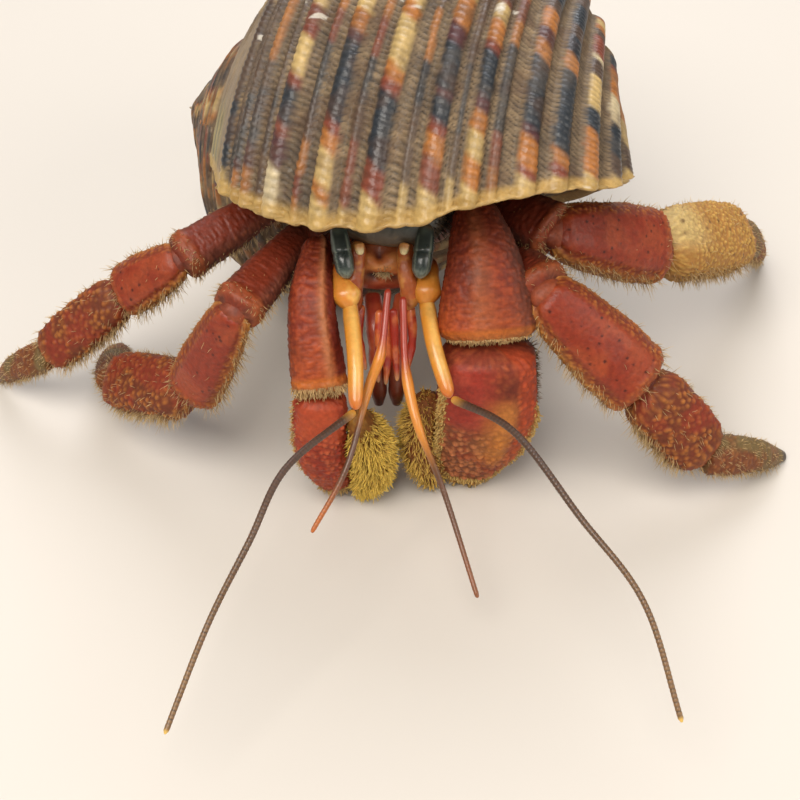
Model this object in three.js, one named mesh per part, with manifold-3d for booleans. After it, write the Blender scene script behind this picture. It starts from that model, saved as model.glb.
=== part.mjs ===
// A land hermit crab looking out of a rough turban shell, life size, in millimetres.
// +Z is up, the crab faces -Y, and its right side is towards -X. The shell rests on the floor, z = 0.
import * as THREE from "three";
import { mergeVertices } from "three/addons/utils/BufferGeometryUtils.js";
import Module from "manifold-3d";

const wasm = await Module();
wasm.setup();

const TAU = 2 * Math.PI;
const radians = THREE.MathUtils.degToRad;
const vec = (xyz) => new THREE.Vector3(...xyz);

// ---------------------------------------------------------------- driving dimensions

const CLEARANCE = 0.3; // left between neighbouring pieces
const SHELL_FOOT = [-4.8, -3.9]; // where the shell meets the floor, from the crab's midline

const SHELL = {
  whorlGrowth: 2.4, // size of each whorl against the one before
  whorls: 3.6,
  tubeCentre: 16.3, // from the coiling axis, at the lip
  tubeRadial: 20.4,
  tubeAxial: 25.9,
  apexToTube: 38.4, // along the axis, from the apex to the tube's centre at the lip
  wall: 1.9,
  hollowTurn: 220, // degrees of whorl that are hollow behind the lip
  ribs: 16,
  ribHeight: 0.7,
  ribArc: [-116.7, 80.1], // degrees round the tube, from the base to the suture
  axis: [-0.902, 0.432, -0.024], // towards the apex
  axisPoint: [10.3, -14.3, 20.3], // on the axis, level with the tube's centre at the lip
  lipTilt: 19.7, // degrees that the lip stands above level
  shoulder: [2.4, 62, 24], // depth, place and half width (degrees round the tube) of the dip by the suture
  columella: 4.0, // radius of the central pillar at its foot
  pillarReach: 5, // how far the pillar runs below the tube's centre
};

// ---------------------------------------------------------------- solids

// Turns a closed geometry into a manifold-3d solid, joining points closer than the tolerance.
function solidOf(geometry, tolerance = 1e-4) {
  const bare = geometry.clone();
  bare.deleteAttribute("normal");
  bare.deleteAttribute("uv");
  const merged = mergeVertices(bare, tolerance);
  return new wasm.Manifold(
    new wasm.Mesh({
      numProp: 3,
      vertProperties: new Float32Array(merged.attributes.position.array),
      triVerts: new Uint32Array(merged.index.array),
    }),
  );
}

function geometryOf(solid) {
  const mesh = solid.getMesh();
  const positions = new Float32Array(mesh.numVert * 3);
  for (let i = 0; i < mesh.numVert; i++) {
    positions.set(mesh.vertProperties.subarray(i * mesh.numProp, i * mesh.numProp + 3), i * 3);
  }
  const geometry = new THREE.BufferGeometry();
  geometry.setAttribute("position", new THREE.BufferAttribute(positions, 3));
  geometry.setIndex(new THREE.BufferAttribute(mesh.triVerts, 1));
  return geometry;
}

// The largest single body of a solid, which drops slivers that a cut leaves.
function mainBody(solid) {
  return solid.decompose().reduce((a, b) => (b.volume() > a.volume() ? b : a));
}

// A solid with fewer, larger facets. Each pass joins close points and drops what they pinch off.
function settled(solid, tolerance) {
  let light = mainBody(mainBody(solid).simplify(tolerance));
  for (let pass = 0; pass < 3; pass++) light = mainBody(solidOf(geometryOf(light), 1e-3));
  return light;
}

// A closed skin over rings of equal length, capped at both ends from the ring's centre.
function skinOver(rings) {
  const count = rings[0].length;
  const centres = [rings[0], rings.at(-1)].map((ring) => {
    return ring.reduce((sum, p) => sum.add(p), new THREE.Vector3()).divideScalar(count);
  });
  const positions = [...rings.flat(), ...centres].flatMap((p) => [p.x, p.y, p.z]);
  const faces = [];
  for (let i = 0; i + 1 < rings.length; i++) {
    for (let j = 0; j < count; j++) {
      const a = i * count + j;
      const b = i * count + ((j + 1) % count);
      faces.push(a, b, b + count, a, b + count, a + count);
    }
  }
  const last = (rings.length - 1) * count;
  const [nearCentre, farCentre] = [last + count, last + count + 1];
  for (let j = 0; j < count; j++) {
    const next = (j + 1) % count;
    faces.push(nearCentre, next, j, farCentre, last + j, last + next);
  }
  const geometry = new THREE.BufferGeometry();
  geometry.setAttribute("position", new THREE.Float32BufferAttribute(positions, 3));
  geometry.setIndex(faces);
  return geometry;
}

// A solid swept along a smooth path. Its profile lists [share of the length, half width, half depth];
// the depth lies towards `up`, and `square` makes its section rounder (2) or boxier (4).
function sweep({ path, up, profile, sides = 12, square = 2.4 }, grow = 0) {
  const curve =
    path.length === 2
      ? new THREE.LineCurve3(vec(path[0]), vec(path[1]))
      : new THREE.CatmullRomCurve3(path.map(vec), false, "centripetal");
  const length = curve.getLength();
  const rings = profile.map(([share, width, depth], i) => {
    const tangent = curve.getTangentAt(share);
    const side = new THREE.Vector3().crossVectors(tangent, vec(up)).normalize();
    const top = new THREE.Vector3().crossVectors(side, tangent);
    const end = i === 0 ? -1 : i === profile.length - 1 ? 1 : 0;
    const centre = curve.getPointAt(share).addScaledVector(tangent, end * grow);
    const power = 2 / square;
    return Array.from({ length: sides }, (_, j) => {
      const angle = ((j + 0.5) / sides) * TAU;
      const c = Math.cos(angle);
      const s = Math.sin(angle);
      return centre
        .clone()
        .addScaledVector(side, (width + grow) * Math.sign(c) * Math.abs(c) ** power)
        .addScaledVector(top, (depth + grow) * Math.sign(s) * Math.abs(s) ** power);
    });
  });
  const solid = solidOf(skinOver(rings));
  if (solid.volume() > 0) return solid;
  return solidOf(skinOver(rings.map((ring) => ring.toReversed())));
}

const belowFloor = solidOf(new THREE.BoxGeometry(400, 400, 20).translate(0, 0, -10));

// ---------------------------------------------------------------- shell

const axis = vec(SHELL.axis).normalize();
const lipOut = new THREE.Vector3(0, -Math.cos(radians(SHELL.lipTilt)), Math.sin(radians(SHELL.lipTilt)))
  .projectOnPlane(axis)
  .normalize();
const growthDown = new THREE.Vector3().crossVectors(lipOut, axis);
const apex = vec(SHELL.axisPoint).addScaledVector(axis, SHELL.apexToTube);
const growthRate = Math.log(SHELL.whorlGrowth) / TAU;

// A point of the shell's spiral: turn is in degrees, 0 at the lip and negative towards the apex;
// round is in degrees about the tube, 0 outermost and 90 towards the apex.
function spiralPoint(turn, round, inset, ribbed) {
  const size = Math.exp(growthRate * radians(turn));
  const [low, high] = SHELL.ribArc;
  const share = (round - low) / (high - low);
  const onRibs = ribbed && share >= 0 && share <= 1;
  const rise = THREE.MathUtils.smoothstep(turn, -365, -290);
  const rib = onRibs ? SHELL.ribHeight * rise * Math.cos(share * SHELL.ribs * TAU) : 0;
  const [depth, place, halfWidth] = SHELL.shoulder;
  const dip = depth * Math.exp(-(((round - place) / halfWidth) ** 2));
  const c = Math.cos(radians(round));
  const s = Math.sin(radians(round));
  const radial = size * (SHELL.tubeCentre + (SHELL.tubeRadial - inset - dip + rib) * c);
  const along = size * (-SHELL.apexToTube + (SHELL.tubeAxial - inset - dip + rib) * s);
  const out = lipOut
    .clone()
    .multiplyScalar(Math.cos(radians(turn)))
    .addScaledVector(growthDown, Math.sin(radians(turn)));
  return apex.clone().addScaledVector(axis, along).addScaledVector(out, radial);
}

// Degrees that the lip runs ahead at a place round the tube: the base of the lip stays behind.
function lipLead(round) {
  const outer = 21 * THREE.MathUtils.smoothstep(-round, -14, 78);
  const base = 26 * THREE.MathUtils.smoothstep(-round, 62, 125);
  const suture = 47 * THREE.MathUtils.smoothstep(round, 95, 180);
  return -5 - outer - base - suture;
}

// A stretch of the shell's tube between two turns. `rounds` lists the places round the tube.
function tubeStretch(from, to, step, rounds, inset, ribbed = false) {
  const steps = Math.ceil((to - from) / step);
  const rings = Array.from({ length: steps + 1 }, (_, i) => {
    const turn = from + ((to - from) * i) / steps;
    return rounds.map((round) => {
      const lead = to > -1 ? lipLead(round) * (i / steps) : 0;
      return spiralPoint(turn + lead, round, inset, ribbed);
    });
  });
  const solid = solidOf(skinOver(rings));
  if (solid.volume() > 0) return solid;
  return solidOf(skinOver(rings.map((ring) => ring.toReversed())));
}

function evenRounds(count) {
  return Array.from({ length: count }, (_, i) => (i * 360) / count - 180);
}

// Two places for each rib, one on its crest and one in the groove, and a plain inner side.
function ribbedRounds() {
  const [low, high] = SHELL.ribArc;
  const ribbed = Array.from({ length: SHELL.ribs * 2 + 1 }, (_, i) => low + ((high - low) * i) / (SHELL.ribs * 2));
  const plain = [1, 2, 3, 4, 5, 6].map((i) => high + ((360 - high + low) * i) / 7);
  return [...ribbed, ...plain];
}

function shellSolid() {
  const start = -360 * SHELL.whorls;
  const spire = [];
  for (let from = -480; from > start; from -= 120) {
    spire.push(tubeStretch(Math.max(from, start), from + 120, 24, evenRounds(14), 0));
  }
  const bodyWhorl = [-360, -240, -120].map((from) => {
    return tubeStretch(from, from + 120, 17.2, ribbedRounds(), 0, true);
  });
  const pillarFoot = apex.clone().addScaledVector(axis, -SHELL.apexToTube - SHELL.pillarReach);
  const pillar = sweep({
    path: [pillarFoot.toArray(), apex.toArray()],
    up: [0, 0, 1],
    profile: [
      [0, 0.5 * SHELL.columella, 0.5 * SHELL.columella],
      [0.04, 0.85 * SHELL.columella, 0.85 * SHELL.columella],
      [0.12, SHELL.columella, SHELL.columella],
      [0.98, 0.3, 0.3],
    ],
    sides: 10,
    square: 2,
  });
  const hollow = wasm.Manifold.union(
    [-SHELL.hollowTurn, -SHELL.hollowTurn / 2].map((from) => {
      const to = from + SHELL.hollowTurn / 2;
      return tubeStretch(from, to + (to > -1 ? 18 : 0.5), 20, evenRounds(20), SHELL.wall);
    }),
  );
  const [firstThird, ...rest] = bodyWhorl;
  const hollowed = wasm.Manifold.union(rest).subtract(hollow);
  return wasm.Manifold.union([hollowed, firstThird, ...spire, pillar]).subtract(belowFloor);
}

// ---------------------------------------------------------------- assembly

const crab = new THREE.Group();
const placed = []; // grown copies of the pieces already placed, which later pieces keep clear of

function addSolid(name, look, solid, tolerance) {
  const atFoot = settled(solid.translate([-SHELL_FOOT[0], -SHELL_FOOT[1], 0]), tolerance);
  const mesh = new THREE.Mesh(geometryOf(atFoot), new THREE.MeshStandardMaterial(look));
  mesh.name = name;
  crab.add(mesh);
}

function addPiece(name, look, spec) {
  let solid = sweep(spec).subtract(belowFloor);
  for (const grown of placed) solid = solid.subtract(grown);
  addSolid(name, look, solid, 0.02);
  placed.push(sweep(spec, CLEARANCE));
}

const SHELL_LOOK = { color: 0x8a7150, roughness: 0.5, metalness: 0 };
const SHIELD_LOOK = { color: 0x5c5a50, roughness: 0.55, metalness: 0 };
const FACE_LOOK = { color: 0xb8632c, roughness: 0.5, metalness: 0 };
const EYE_LOOK = { color: 0x2c3330, roughness: 0.25, metalness: 0 };
const RED_LOOK = { color: 0x9c3a2b, roughness: 0.5, metalness: 0 };
const BROWN_LOOK = { color: 0x74392e, roughness: 0.6, metalness: 0 };
const ORANGE_LOOK = { color: 0xd58a30, roughness: 0.45, metalness: 0 };
const TAN_LOOK = { color: 0xb59a62, roughness: 0.8, metalness: 0 };
const SOFT_LOOK = { color: 0xa5725a, roughness: 0.6, metalness: 0 };

addSolid("shell", SHELL_LOOK, shellSolid(), 0.12);

// Limb pieces face up and forward.
const FACING = [0, -0.6, 0.8];

// The hard shield over the front of the body, and the face below its front edge.
addPiece("shield", SHIELD_LOOK, {
  path: [[-0.6, -34.9, 28.4], [0.2, -30, 30.6], [2.2, -20, 31.5]],
  up: [0, -0.3, 1],
  profile: [[0, 4.9, 1.3], [0.15, 6.1, 2.2], [0.6, 7.2, 3.2], [1, 6.6, 2.8]],
  sides: 14,
});
addPiece("face", FACE_LOOK, {
  path: [[-0.6, -28, 25.3], [-0.4, -36.3, 24.3]],
  up: [0, 0.2, 1],
  profile: [[0, 5.2, 2.8], [0.7, 5, 2.9], [1, 3.8, 2.2]],
  sides: 12,
});
addPiece("thorax", SOFT_LOOK, {
  path: [[0.2, -27.4, 24], [2, -21, 24.8], [4.2, -14.5, 28.2]],
  up: [0, 0, 1],
  profile: [[0, 5.4, 3.4], [0.3, 6.8, 4.2], [0.8, 6.2, 3.6], [1, 4.8, 2.8]],
  sides: 12,
});
addPiece("abdomen", SOFT_LOOK, {
  path: [[4.5, -13.8, 28.6], [5, -8, 31], [5.4, -1.5, 27.6], [4.8, 2.2, 20.6]],
  up: [1, 0, 0],
  profile: [[0, 4.2, 4], [0.25, 5, 4.8], [0.6, 4.4, 4.2], [0.9, 3, 2.8], [1, 1.8, 1.6]],
  sides: 10,
});

// Eyestalks with dark corneas at their tips, on either side of the midline.
for (const [side, x, lean] of [["right", -4.4, 0.6], ["left", 3.7, -0.4]]) {
  addPiece(`${side}_eyestalk`, EYE_LOOK, {
    path: [[x - lean, -34, 30.4], [x, -37, 28.6]],
    up: FACING,
    profile: [[0, 0.75, 0.7], [1, 0.85, 0.8]],
    sides: 8,
    square: 2,
  });
  addPiece(`${side}_cornea`, EYE_LOOK, {
    path: [[x, -37.2, 28.5], [x + lean, -38.6, 26.4]],
    up: FACING,
    profile: [[0, 0.8, 0.8], [0.35, 0.95, 0.95], [0.75, 0.85, 0.85], [1, 0.4, 0.4]],
    sides: 8,
    square: 2,
  });
}

// Antennae: a jointed stalk, a long last stalk segment, and a whip.
const ANTENNAE = {
  right: {
    stalk: [[-5, -35.1, 26.2], [-3.8, -39.3, 24.4]],
    last: [[-3.5, -39.9, 23.8], [-3.1, -45.5, 22.4], [-3, -50, 19.6]],
    whip: [[-3.1, -50.5, 19.6], [-9.7, -58.9, 20.3], [-12.6, -65.7, 18.2], [-16.2, -71.7, 13.9], [-20, -80.6, 8.6]],
  },
  left: {
    stalk: [[4.5, -34.5, 26.2], [4, -37.9, 24.4]],
    last: [[4, -38.6, 23.8], [4.9, -44, 22.4], [6.4, -48.3, 19.6]],
    whip: [[6.8, -48.8, 19.8], [12.2, -54.5, 21.4], [18.3, -63.9, 19.3], [23.7, -71, 16], [27, -80, 9.6]],
  },
};
for (const [side, part] of Object.entries(ANTENNAE)) {
  addPiece(`${side}_antenna_stalk`, ORANGE_LOOK, {
    path: part.stalk,
    up: FACING,
    profile: [[0, 0.9, 0.8], [0.6, 1.25, 1.1], [1, 1, 0.9]],
    sides: 8,
  });
  addPiece(`${side}_antenna_last_segment`, ORANGE_LOOK, {
    path: part.last,
    up: FACING,
    profile: [[0, 0.55, 0.55], [0.15, 0.7, 0.65], [0.85, 0.7, 0.65], [1, 0.6, 0.6]],
    sides: 8,
  });
  addPiece(`${side}_antenna_whip`, TAN_LOOK, {
    path: part.whip,
    up: FACING,
    profile: [0, 0.1, 0.2, 0.3, 0.4, 0.5, 0.6, 0.7, 0.8, 0.9, 1].map((t) => [t, 0.42 - 0.12 * t, 0.42 - 0.12 * t]),
    sides: 6,
    square: 2,
  });
}

// Antennules, bent at an elbow below the face.
const ANTENNULES = {
  right: [[0.2, -38.9, 25.7], [-0.6, -44, 21.4], [-1.6, -45.7, 19.3], [-4.1, -52.9, 13.9], [-7.5, -57.5, 9.6]],
  left: [[1.7, -40.4, 25.7], [2, -45, 20.3], [3.2, -49.7, 17.1], [5.7, -53.4, 11.8], [9.2, -62.4, 5.3]],
};
for (const [side, path] of Object.entries(ANTENNULES)) {
  addPiece(`${side}_antennule`, ORANGE_LOOK, {
    path,
    up: FACING,
    profile: [0, 0.12, 0.24, 0.36, 0.5, 0.64, 0.8, 1].map((t) => [t, 0.45 - 0.12 * t, 0.45 - 0.12 * t]),
    sides: 6,
    square: 2,
  });
}

// Third pair of jaw legs, hanging side by side below the face.
for (const [side, x] of [["right", -1.1], ["left", 1.3]]) {
  addPiece(`${side}_jaw_leg`, RED_LOOK, {
    path: [[x * 1.4, -34.5, 21.3], [x, -38.6, 19.6], [x * 0.8, -40.4, 14.4], [x * 0.8, -39.6, 10]],
    up: FACING,
    profile: [[0, 1, 1], [0.4, 1.05, 1.1], [0.8, 0.9, 0.9], [1, 0.45, 0.5]],
    sides: 8,
  });
}

// Claws. The left one is far larger.
addPiece("left_claw_carpus", RED_LOOK, {
  path: [[8.9, -31, 30.8], [9.9, -36.6, 27.4], [10.5, -41.4, 21.2]],
  up: FACING,
  profile: [[0, 1.8, 2], [0.3, 3.2, 3.2], [0.65, 4.5, 3.9], [0.9, 5.2, 4], [1, 4.8, 3.4]],
  sides: 12,
});
addPiece("left_claw_palm", RED_LOOK, {
  path: [[10.6, -42, 20.3], [10.4, -42.4, 12], [8.3, -40.6, 0.2]],
  up: [0, -1, 0.15],
  profile: [[0, 4.2, 3], [0.14, 5, 3.6], [0.4, 5.3, 3.8], [0.65, 4.6, 3.4], [0.85, 3.2, 2.6], [1, 1.9, 1.8]],
  sides: 12,
});
addPiece("left_claw_finger", TAN_LOOK, {
  path: [[4.6, -41.5, 13.5], [3.5, -42.6, 8], [5.4, -41.6, 0.2]],
  up: [0, -1, 0.15],
  profile: [[0, 1.2, 1.6], [0.25, 1.9, 2.5], [0.7, 1.7, 2.3], [1, 0.8, 1.2]],
  sides: 10,
});
addPiece("left_claw_merus", BROWN_LOOK, {
  path: [[7, -24, 25], [9.2, -29.6, 28.6]],
  up: FACING,
  profile: [[0, 2.6, 2.6], [0.7, 3.2, 3], [1, 2.6, 2.4]],
  sides: 10,
});
addPiece("right_claw_carpus", RED_LOOK, {
  path: [[-7, -33, 27.6], [-7.6, -39.4, 24], [-6.8, -44.6, 17]],
  up: FACING,
  profile: [[0, 1.3, 1.4], [0.4, 2.3, 2.3], [0.85, 2.8, 2.6], [1, 2.6, 2.2]],
  sides: 10,
});
addPiece("right_claw_palm", RED_LOOK, {
  path: [[-6.7, -45, 16.2], [-7, -44.8, 9], [-5.2, -42.4, 0.2]],
  up: [0, -1, 0.15],
  profile: [[0, 2.2, 1.9], [0.2, 2.8, 2.4], [0.6, 2.6, 2.4], [0.9, 1.7, 1.6], [1, 1.1, 1.1]],
  sides: 10,
});
addPiece("right_claw_finger", TAN_LOOK, {
  path: [[-3.2, -45, 14.2], [-1.6, -44.8, 8], [-2.6, -43, 0.2]],
  up: [0, -1, 0.15],
  profile: [[0, 1.1, 1.4], [0.3, 2, 2.1], [0.7, 1.9, 2], [1, 0.8, 1]],
  sides: 10,
});
addPiece("right_claw_merus", BROWN_LOOK, {
  path: [[-5.6, -24, 24.4], [-6.8, -32, 27]],
  up: FACING,
  profile: [[0, 1.8, 2], [0.6, 2, 2.2], [1, 1.5, 1.6]],
  sides: 10,
});

// Walking legs, two on each side: joints from the body to the tip, and half widths of each piece.
const LEGS = {
  right_second: {
    joints: [[-7.4, -26.9, 25.6], [-15.3, -41.8, 25.4], [-20.8, -40.2, 12.6], [-31, -32, 6.2], [-32.6, -19.6, 0]],
    half: [2.5, 2.7, 3.3, 1.9],
  },
  right_third: {
    joints: [[-8.6, -20.8, 26], [-22.1, -30.4, 22.6], [-28.8, -29.4, 17.2], [-38.4, -30.4, 8.6], [-46.5, -25.5, 0]],
    half: [2.5, 2.6, 2.7, 1.6],
  },
  left_second: {
    joints: [[10.4, -27.4, 22.4], [15.9, -39.6, 26], [26.6, -42.2, 15.6], [34.4, -43.6, 6.2], [45, -38, 0]],
    half: [3.1, 3.7, 3.5, 2],
  },
  left_third: {
    joints: [[10.6, -26.4, 27.8], [17.4, -32, 27.6], [29.6, -25.8, 20.6], [41.8, -12.4, 11.2], [47.6, -3, 0]],
    half: [3, 3.8, 4.2, 2.2],
  },
};
const SEGMENTS = ["merus", "carpus", "propodus", "dactyl"];
for (const [leg, { joints, half }] of Object.entries(LEGS)) {
  SEGMENTS.forEach((segment, i) => {
    const width = half[i];
    const end = i === 3 ? 0.5 : 0.8 * width;
    addPiece(`${leg}_leg_${segment}`, i === 1 ? RED_LOOK : BROWN_LOOK, {
      path: [joints[i], joints[i + 1]],
      up: FACING,
      profile: [
        [0.01, 0.72 * width, 0.54 * width],
        [0.2, 0.96 * width, 0.72 * width],
        [0.65, (i === 3 ? 0.8 : 1) * width, (i === 3 ? 0.6 : 0.74) * width],
        [0.9, (i === 3 ? 0.42 : 0.96) * width, (i === 3 ? 0.36 : 0.72) * width],
        [i === 3 ? 1 : 0.99, end, 0.75 * end],
      ],
      sides: 10,
    });
  });
}

export default crab;
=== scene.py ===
import bpy, math
import numpy as np
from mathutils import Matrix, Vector


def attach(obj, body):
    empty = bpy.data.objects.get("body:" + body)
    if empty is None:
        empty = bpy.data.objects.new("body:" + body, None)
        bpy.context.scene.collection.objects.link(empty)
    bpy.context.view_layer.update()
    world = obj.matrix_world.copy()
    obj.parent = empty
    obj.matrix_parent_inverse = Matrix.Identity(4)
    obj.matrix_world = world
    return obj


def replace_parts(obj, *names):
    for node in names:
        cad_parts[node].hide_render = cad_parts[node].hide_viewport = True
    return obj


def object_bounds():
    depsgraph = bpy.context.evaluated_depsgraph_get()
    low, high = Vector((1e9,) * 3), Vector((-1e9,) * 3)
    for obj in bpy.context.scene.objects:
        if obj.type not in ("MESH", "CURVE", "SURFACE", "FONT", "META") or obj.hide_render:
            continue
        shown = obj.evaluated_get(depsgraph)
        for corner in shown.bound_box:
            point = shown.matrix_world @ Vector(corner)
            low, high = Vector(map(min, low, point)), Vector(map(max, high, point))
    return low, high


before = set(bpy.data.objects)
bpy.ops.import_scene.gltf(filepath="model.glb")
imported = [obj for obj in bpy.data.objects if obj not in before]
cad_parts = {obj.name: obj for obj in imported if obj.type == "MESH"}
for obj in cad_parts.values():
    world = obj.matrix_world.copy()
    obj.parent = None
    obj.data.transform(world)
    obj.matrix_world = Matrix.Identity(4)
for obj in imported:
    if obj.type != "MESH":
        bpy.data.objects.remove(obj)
solid_low, solid_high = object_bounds()
BOX_LOW = np.array(solid_low)
BOX_HIGH = np.array(solid_high)

# ---------------------------------------------------------------- the stand
# The camera looks down at the crab from the front. The model stands on a plain pale board, lit by
# three soft lamps and a dim even sky.

camera = bpy.data.objects.new("camera", bpy.data.cameras.new("camera"))
bpy.context.collection.objects.link(camera)
camera.location = (0.0062, -0.1593, 0.1342)
camera.rotation_euler = (math.radians(45), 0, 0)
camera.data.sensor_width = 36
camera.data.lens = 72.86
camera.data.clip_start = 0.005
bpy.context.scene.camera = camera
bpy.context.scene.view_settings.view_transform = "Standard"

BOARD = 0.9  # half width, metres
board_mesh = bpy.data.meshes.new("board")
board_corners = [(-BOARD, -BOARD, 0), (BOARD, -BOARD, 0), (BOARD, BOARD, 0), (-BOARD, BOARD, 0)]
board_mesh.from_pydata([(x, y, z - 0.0001) for x, y, z in board_corners], [], [(0, 1, 2, 3)])
board = bpy.data.objects.new("board", board_mesh)
bpy.context.collection.objects.link(board)
board_paint = bpy.data.materials.new("pale_board")
board_paint.use_nodes = True
nodes, links = board_paint.node_tree.nodes, board_paint.node_tree.links
board_shader = nodes["Principled BSDF"]
board_shader.inputs["Roughness"].default_value = 0.85
board_mottle = nodes.new("ShaderNodeTexNoise")
board_mottle.inputs["Scale"].default_value = 14
board_ramp = nodes.new("ShaderNodeValToRGB")
board_ramp.color_ramp.elements[0].color = (0.60, 0.56, 0.51, 1)
board_ramp.color_ramp.elements[1].color = (0.68, 0.64, 0.59, 1)
links.new(board_mottle.outputs["Fac"], board_ramp.inputs["Fac"])
links.new(board_ramp.outputs["Color"], board_shader.inputs["Base Color"])
board_mesh.materials.append(board_paint)

LAMPS = {  # place, size and watts of each lamp, and its colour
    "key_lamp": ((-0.16, -0.30, 0.55), 0.42, 4.1, (1.0, 0.95, 0.88)),
    "side_lamp": ((0.45, -0.25, 0.35), 0.35, 1.2, (1.0, 0.93, 0.85)),
    "back_lamp": ((0.05, 0.40, 0.45), 0.40, 2.2, (0.95, 0.96, 1.0)),
}
for lamp_name, (place, size, watts, tone) in LAMPS.items():
    lamp = bpy.data.objects.new(lamp_name, bpy.data.lights.new(lamp_name, "AREA"))
    lamp.data.size = size
    lamp.data.energy = watts
    lamp.data.color = tone
    lamp.location = place
    lamp.rotation_euler = (Vector((0.0, -0.02, 0.02)) - Vector(place)).to_track_quat("-Z", "Y").to_euler()
    bpy.context.collection.objects.link(lamp)
sky = bpy.data.worlds.new("sky")
sky.use_nodes = True
sky.node_tree.nodes["Background"].inputs["Color"].default_value = (1.0, 0.96, 0.90, 1)
sky.node_tree.nodes["Background"].inputs["Strength"].default_value = 0.30
bpy.context.scene.world = sky

# ---------------------------------------------------------------- the shell
# A turban shell, one coiled tube of lime with glossy cords along it and rough grooves between them.
# The crab found it empty and wears it; only the grip of its tail holds it on.

FOOT = np.array([4.8, 3.9, 0.0])  # from the crab's midline to the place where the shell stands, mm


def in_metres(points):
    """Millimetres from the crab's midline to metres in the shared frame, held inside the solids' box."""
    return np.clip((points + FOOT) * 0.001, BOX_LOW + 2e-5, BOX_HIGH - 2e-5)


def unit(v):
    return v / np.maximum(np.linalg.norm(v, axis=-1, keepdims=True), 1e-9)


def colour(hexes):
    """A paint written as six hex digits, as linear red, green and blue."""
    shares = np.array([int(hexes[i : i + 2], 16) / 255 for i in (0, 2, 4)])
    return np.where(shares <= 0.04045, shares / 12.92, ((shares + 0.055) / 1.055) ** 2.4)


def over(under, paint, amount):
    """One paint laid over another, as thickly as amount says at each point."""
    paint = colour(paint) if isinstance(paint, str) else paint
    return under + (paint - under) * np.clip(amount, 0, 1)[..., None]


def painted(points, base, layers):
    """A base paint all over some points, with the layers laid over it in turn."""
    tint = np.broadcast_to(colour(base), points.shape)
    for paint, amount in layers:
        tint = over(tint, paint, amount)
    return tint


def step(x, low, high):
    t = np.clip((x - low) / (high - low), 0, 1)
    return t * t * (3 - 2 * t)


def bell(x, width):
    return np.exp(-((x / width) ** 2))


def scattered(cells, seed):
    """The same chance number, from 0 to 1, for the same cell each time."""
    c = cells.astype(np.uint64)
    h = c[..., 0] * np.uint64(73856093) ^ c[..., 1] * np.uint64(19349663) ^ c[..., 2] * np.uint64(83492791)
    h = (h ^ np.uint64(seed * 2654435761 % 2**32)) * np.uint64(0x9E3779B97F4A7C15)
    h = (h ^ (h >> np.uint64(29))) * np.uint64(0xBF58476D1CE4E5B9)
    return (h >> np.uint64(40)).astype(float) / 2**24


def mottle(points, size, seed, layers=3):
    """Cloudy light and dark, from 0 to 1, in patches of this many millimetres."""
    total, weight = 0.0, 0.0
    for layer in range(layers):
        q = points / size * 2**layer + 500
        cell = np.floor(q)
        f = q - cell
        f = f * f * (3 - 2 * f)
        value = 0.0
        for corner in np.ndindex(2, 2, 2):
            share = np.prod(np.where(np.array(corner), f, 1 - f), axis=-1)
            value = value + share * scattered(cell + np.array(corner), seed + layer)
        total = total + value * 0.5**layer
        weight += 0.5**layer
    return total / weight


def skinned(name, grids, paints, gloss):
    """A smooth closed mesh over grids of points, with a paint and a roughness at each point."""
    verts, quads, fans, tints = [], [], [], []
    base = 0
    for grid, paint, rough in zip(grids, paints, gloss):
        rows, cols = grid.shape[:2]
        rough = np.broadcast_to(rough, (rows, cols))
        verts.append(in_metres(grid).reshape(-1, 3))
        tints.append(np.concatenate([paint, rough[..., None]], axis=-1).reshape(-1, 4))
        i, j = np.meshgrid(np.arange(rows - 1), np.arange(cols), indexing="ij")
        k = (j + 1) % cols
        faces = np.stack([i * cols + j, i * cols + k, (i + 1) * cols + k, (i + 1) * cols + j], axis=-1)
        quads.append(faces.reshape(-1, 4) + base)
        base += rows * cols
        first = base - rows * cols
        for row, flip in ((0, True), (rows - 1, False)):
            ring = first + row * cols + np.arange(cols)
            nxt = np.roll(ring, -1)
            verts.append(in_metres(grid[row].mean(axis=0))[None])
            tints.append(np.concatenate([paint[row].mean(axis=0), [rough[row].mean()]])[None])
            a, b = (nxt, ring) if flip else (ring, nxt)
            fans.append(np.stack([a, b, np.full(cols, base)], axis=-1))
            base += 1
    faces = [f for block in quads + fans for f in block.tolist()]
    mesh = bpy.data.meshes.new(name)
    mesh.from_pydata(np.concatenate(verts), [], faces)
    mesh.shade_smooth()
    layer = mesh.color_attributes.new("Paint", "FLOAT_COLOR", "POINT")
    layer.data.foreach_set("color", np.clip(np.concatenate(tints), 0, 1).astype(np.float32).ravel())
    piece = bpy.data.objects.new(name, mesh)
    bpy.context.collection.objects.link(piece)
    return piece


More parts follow.
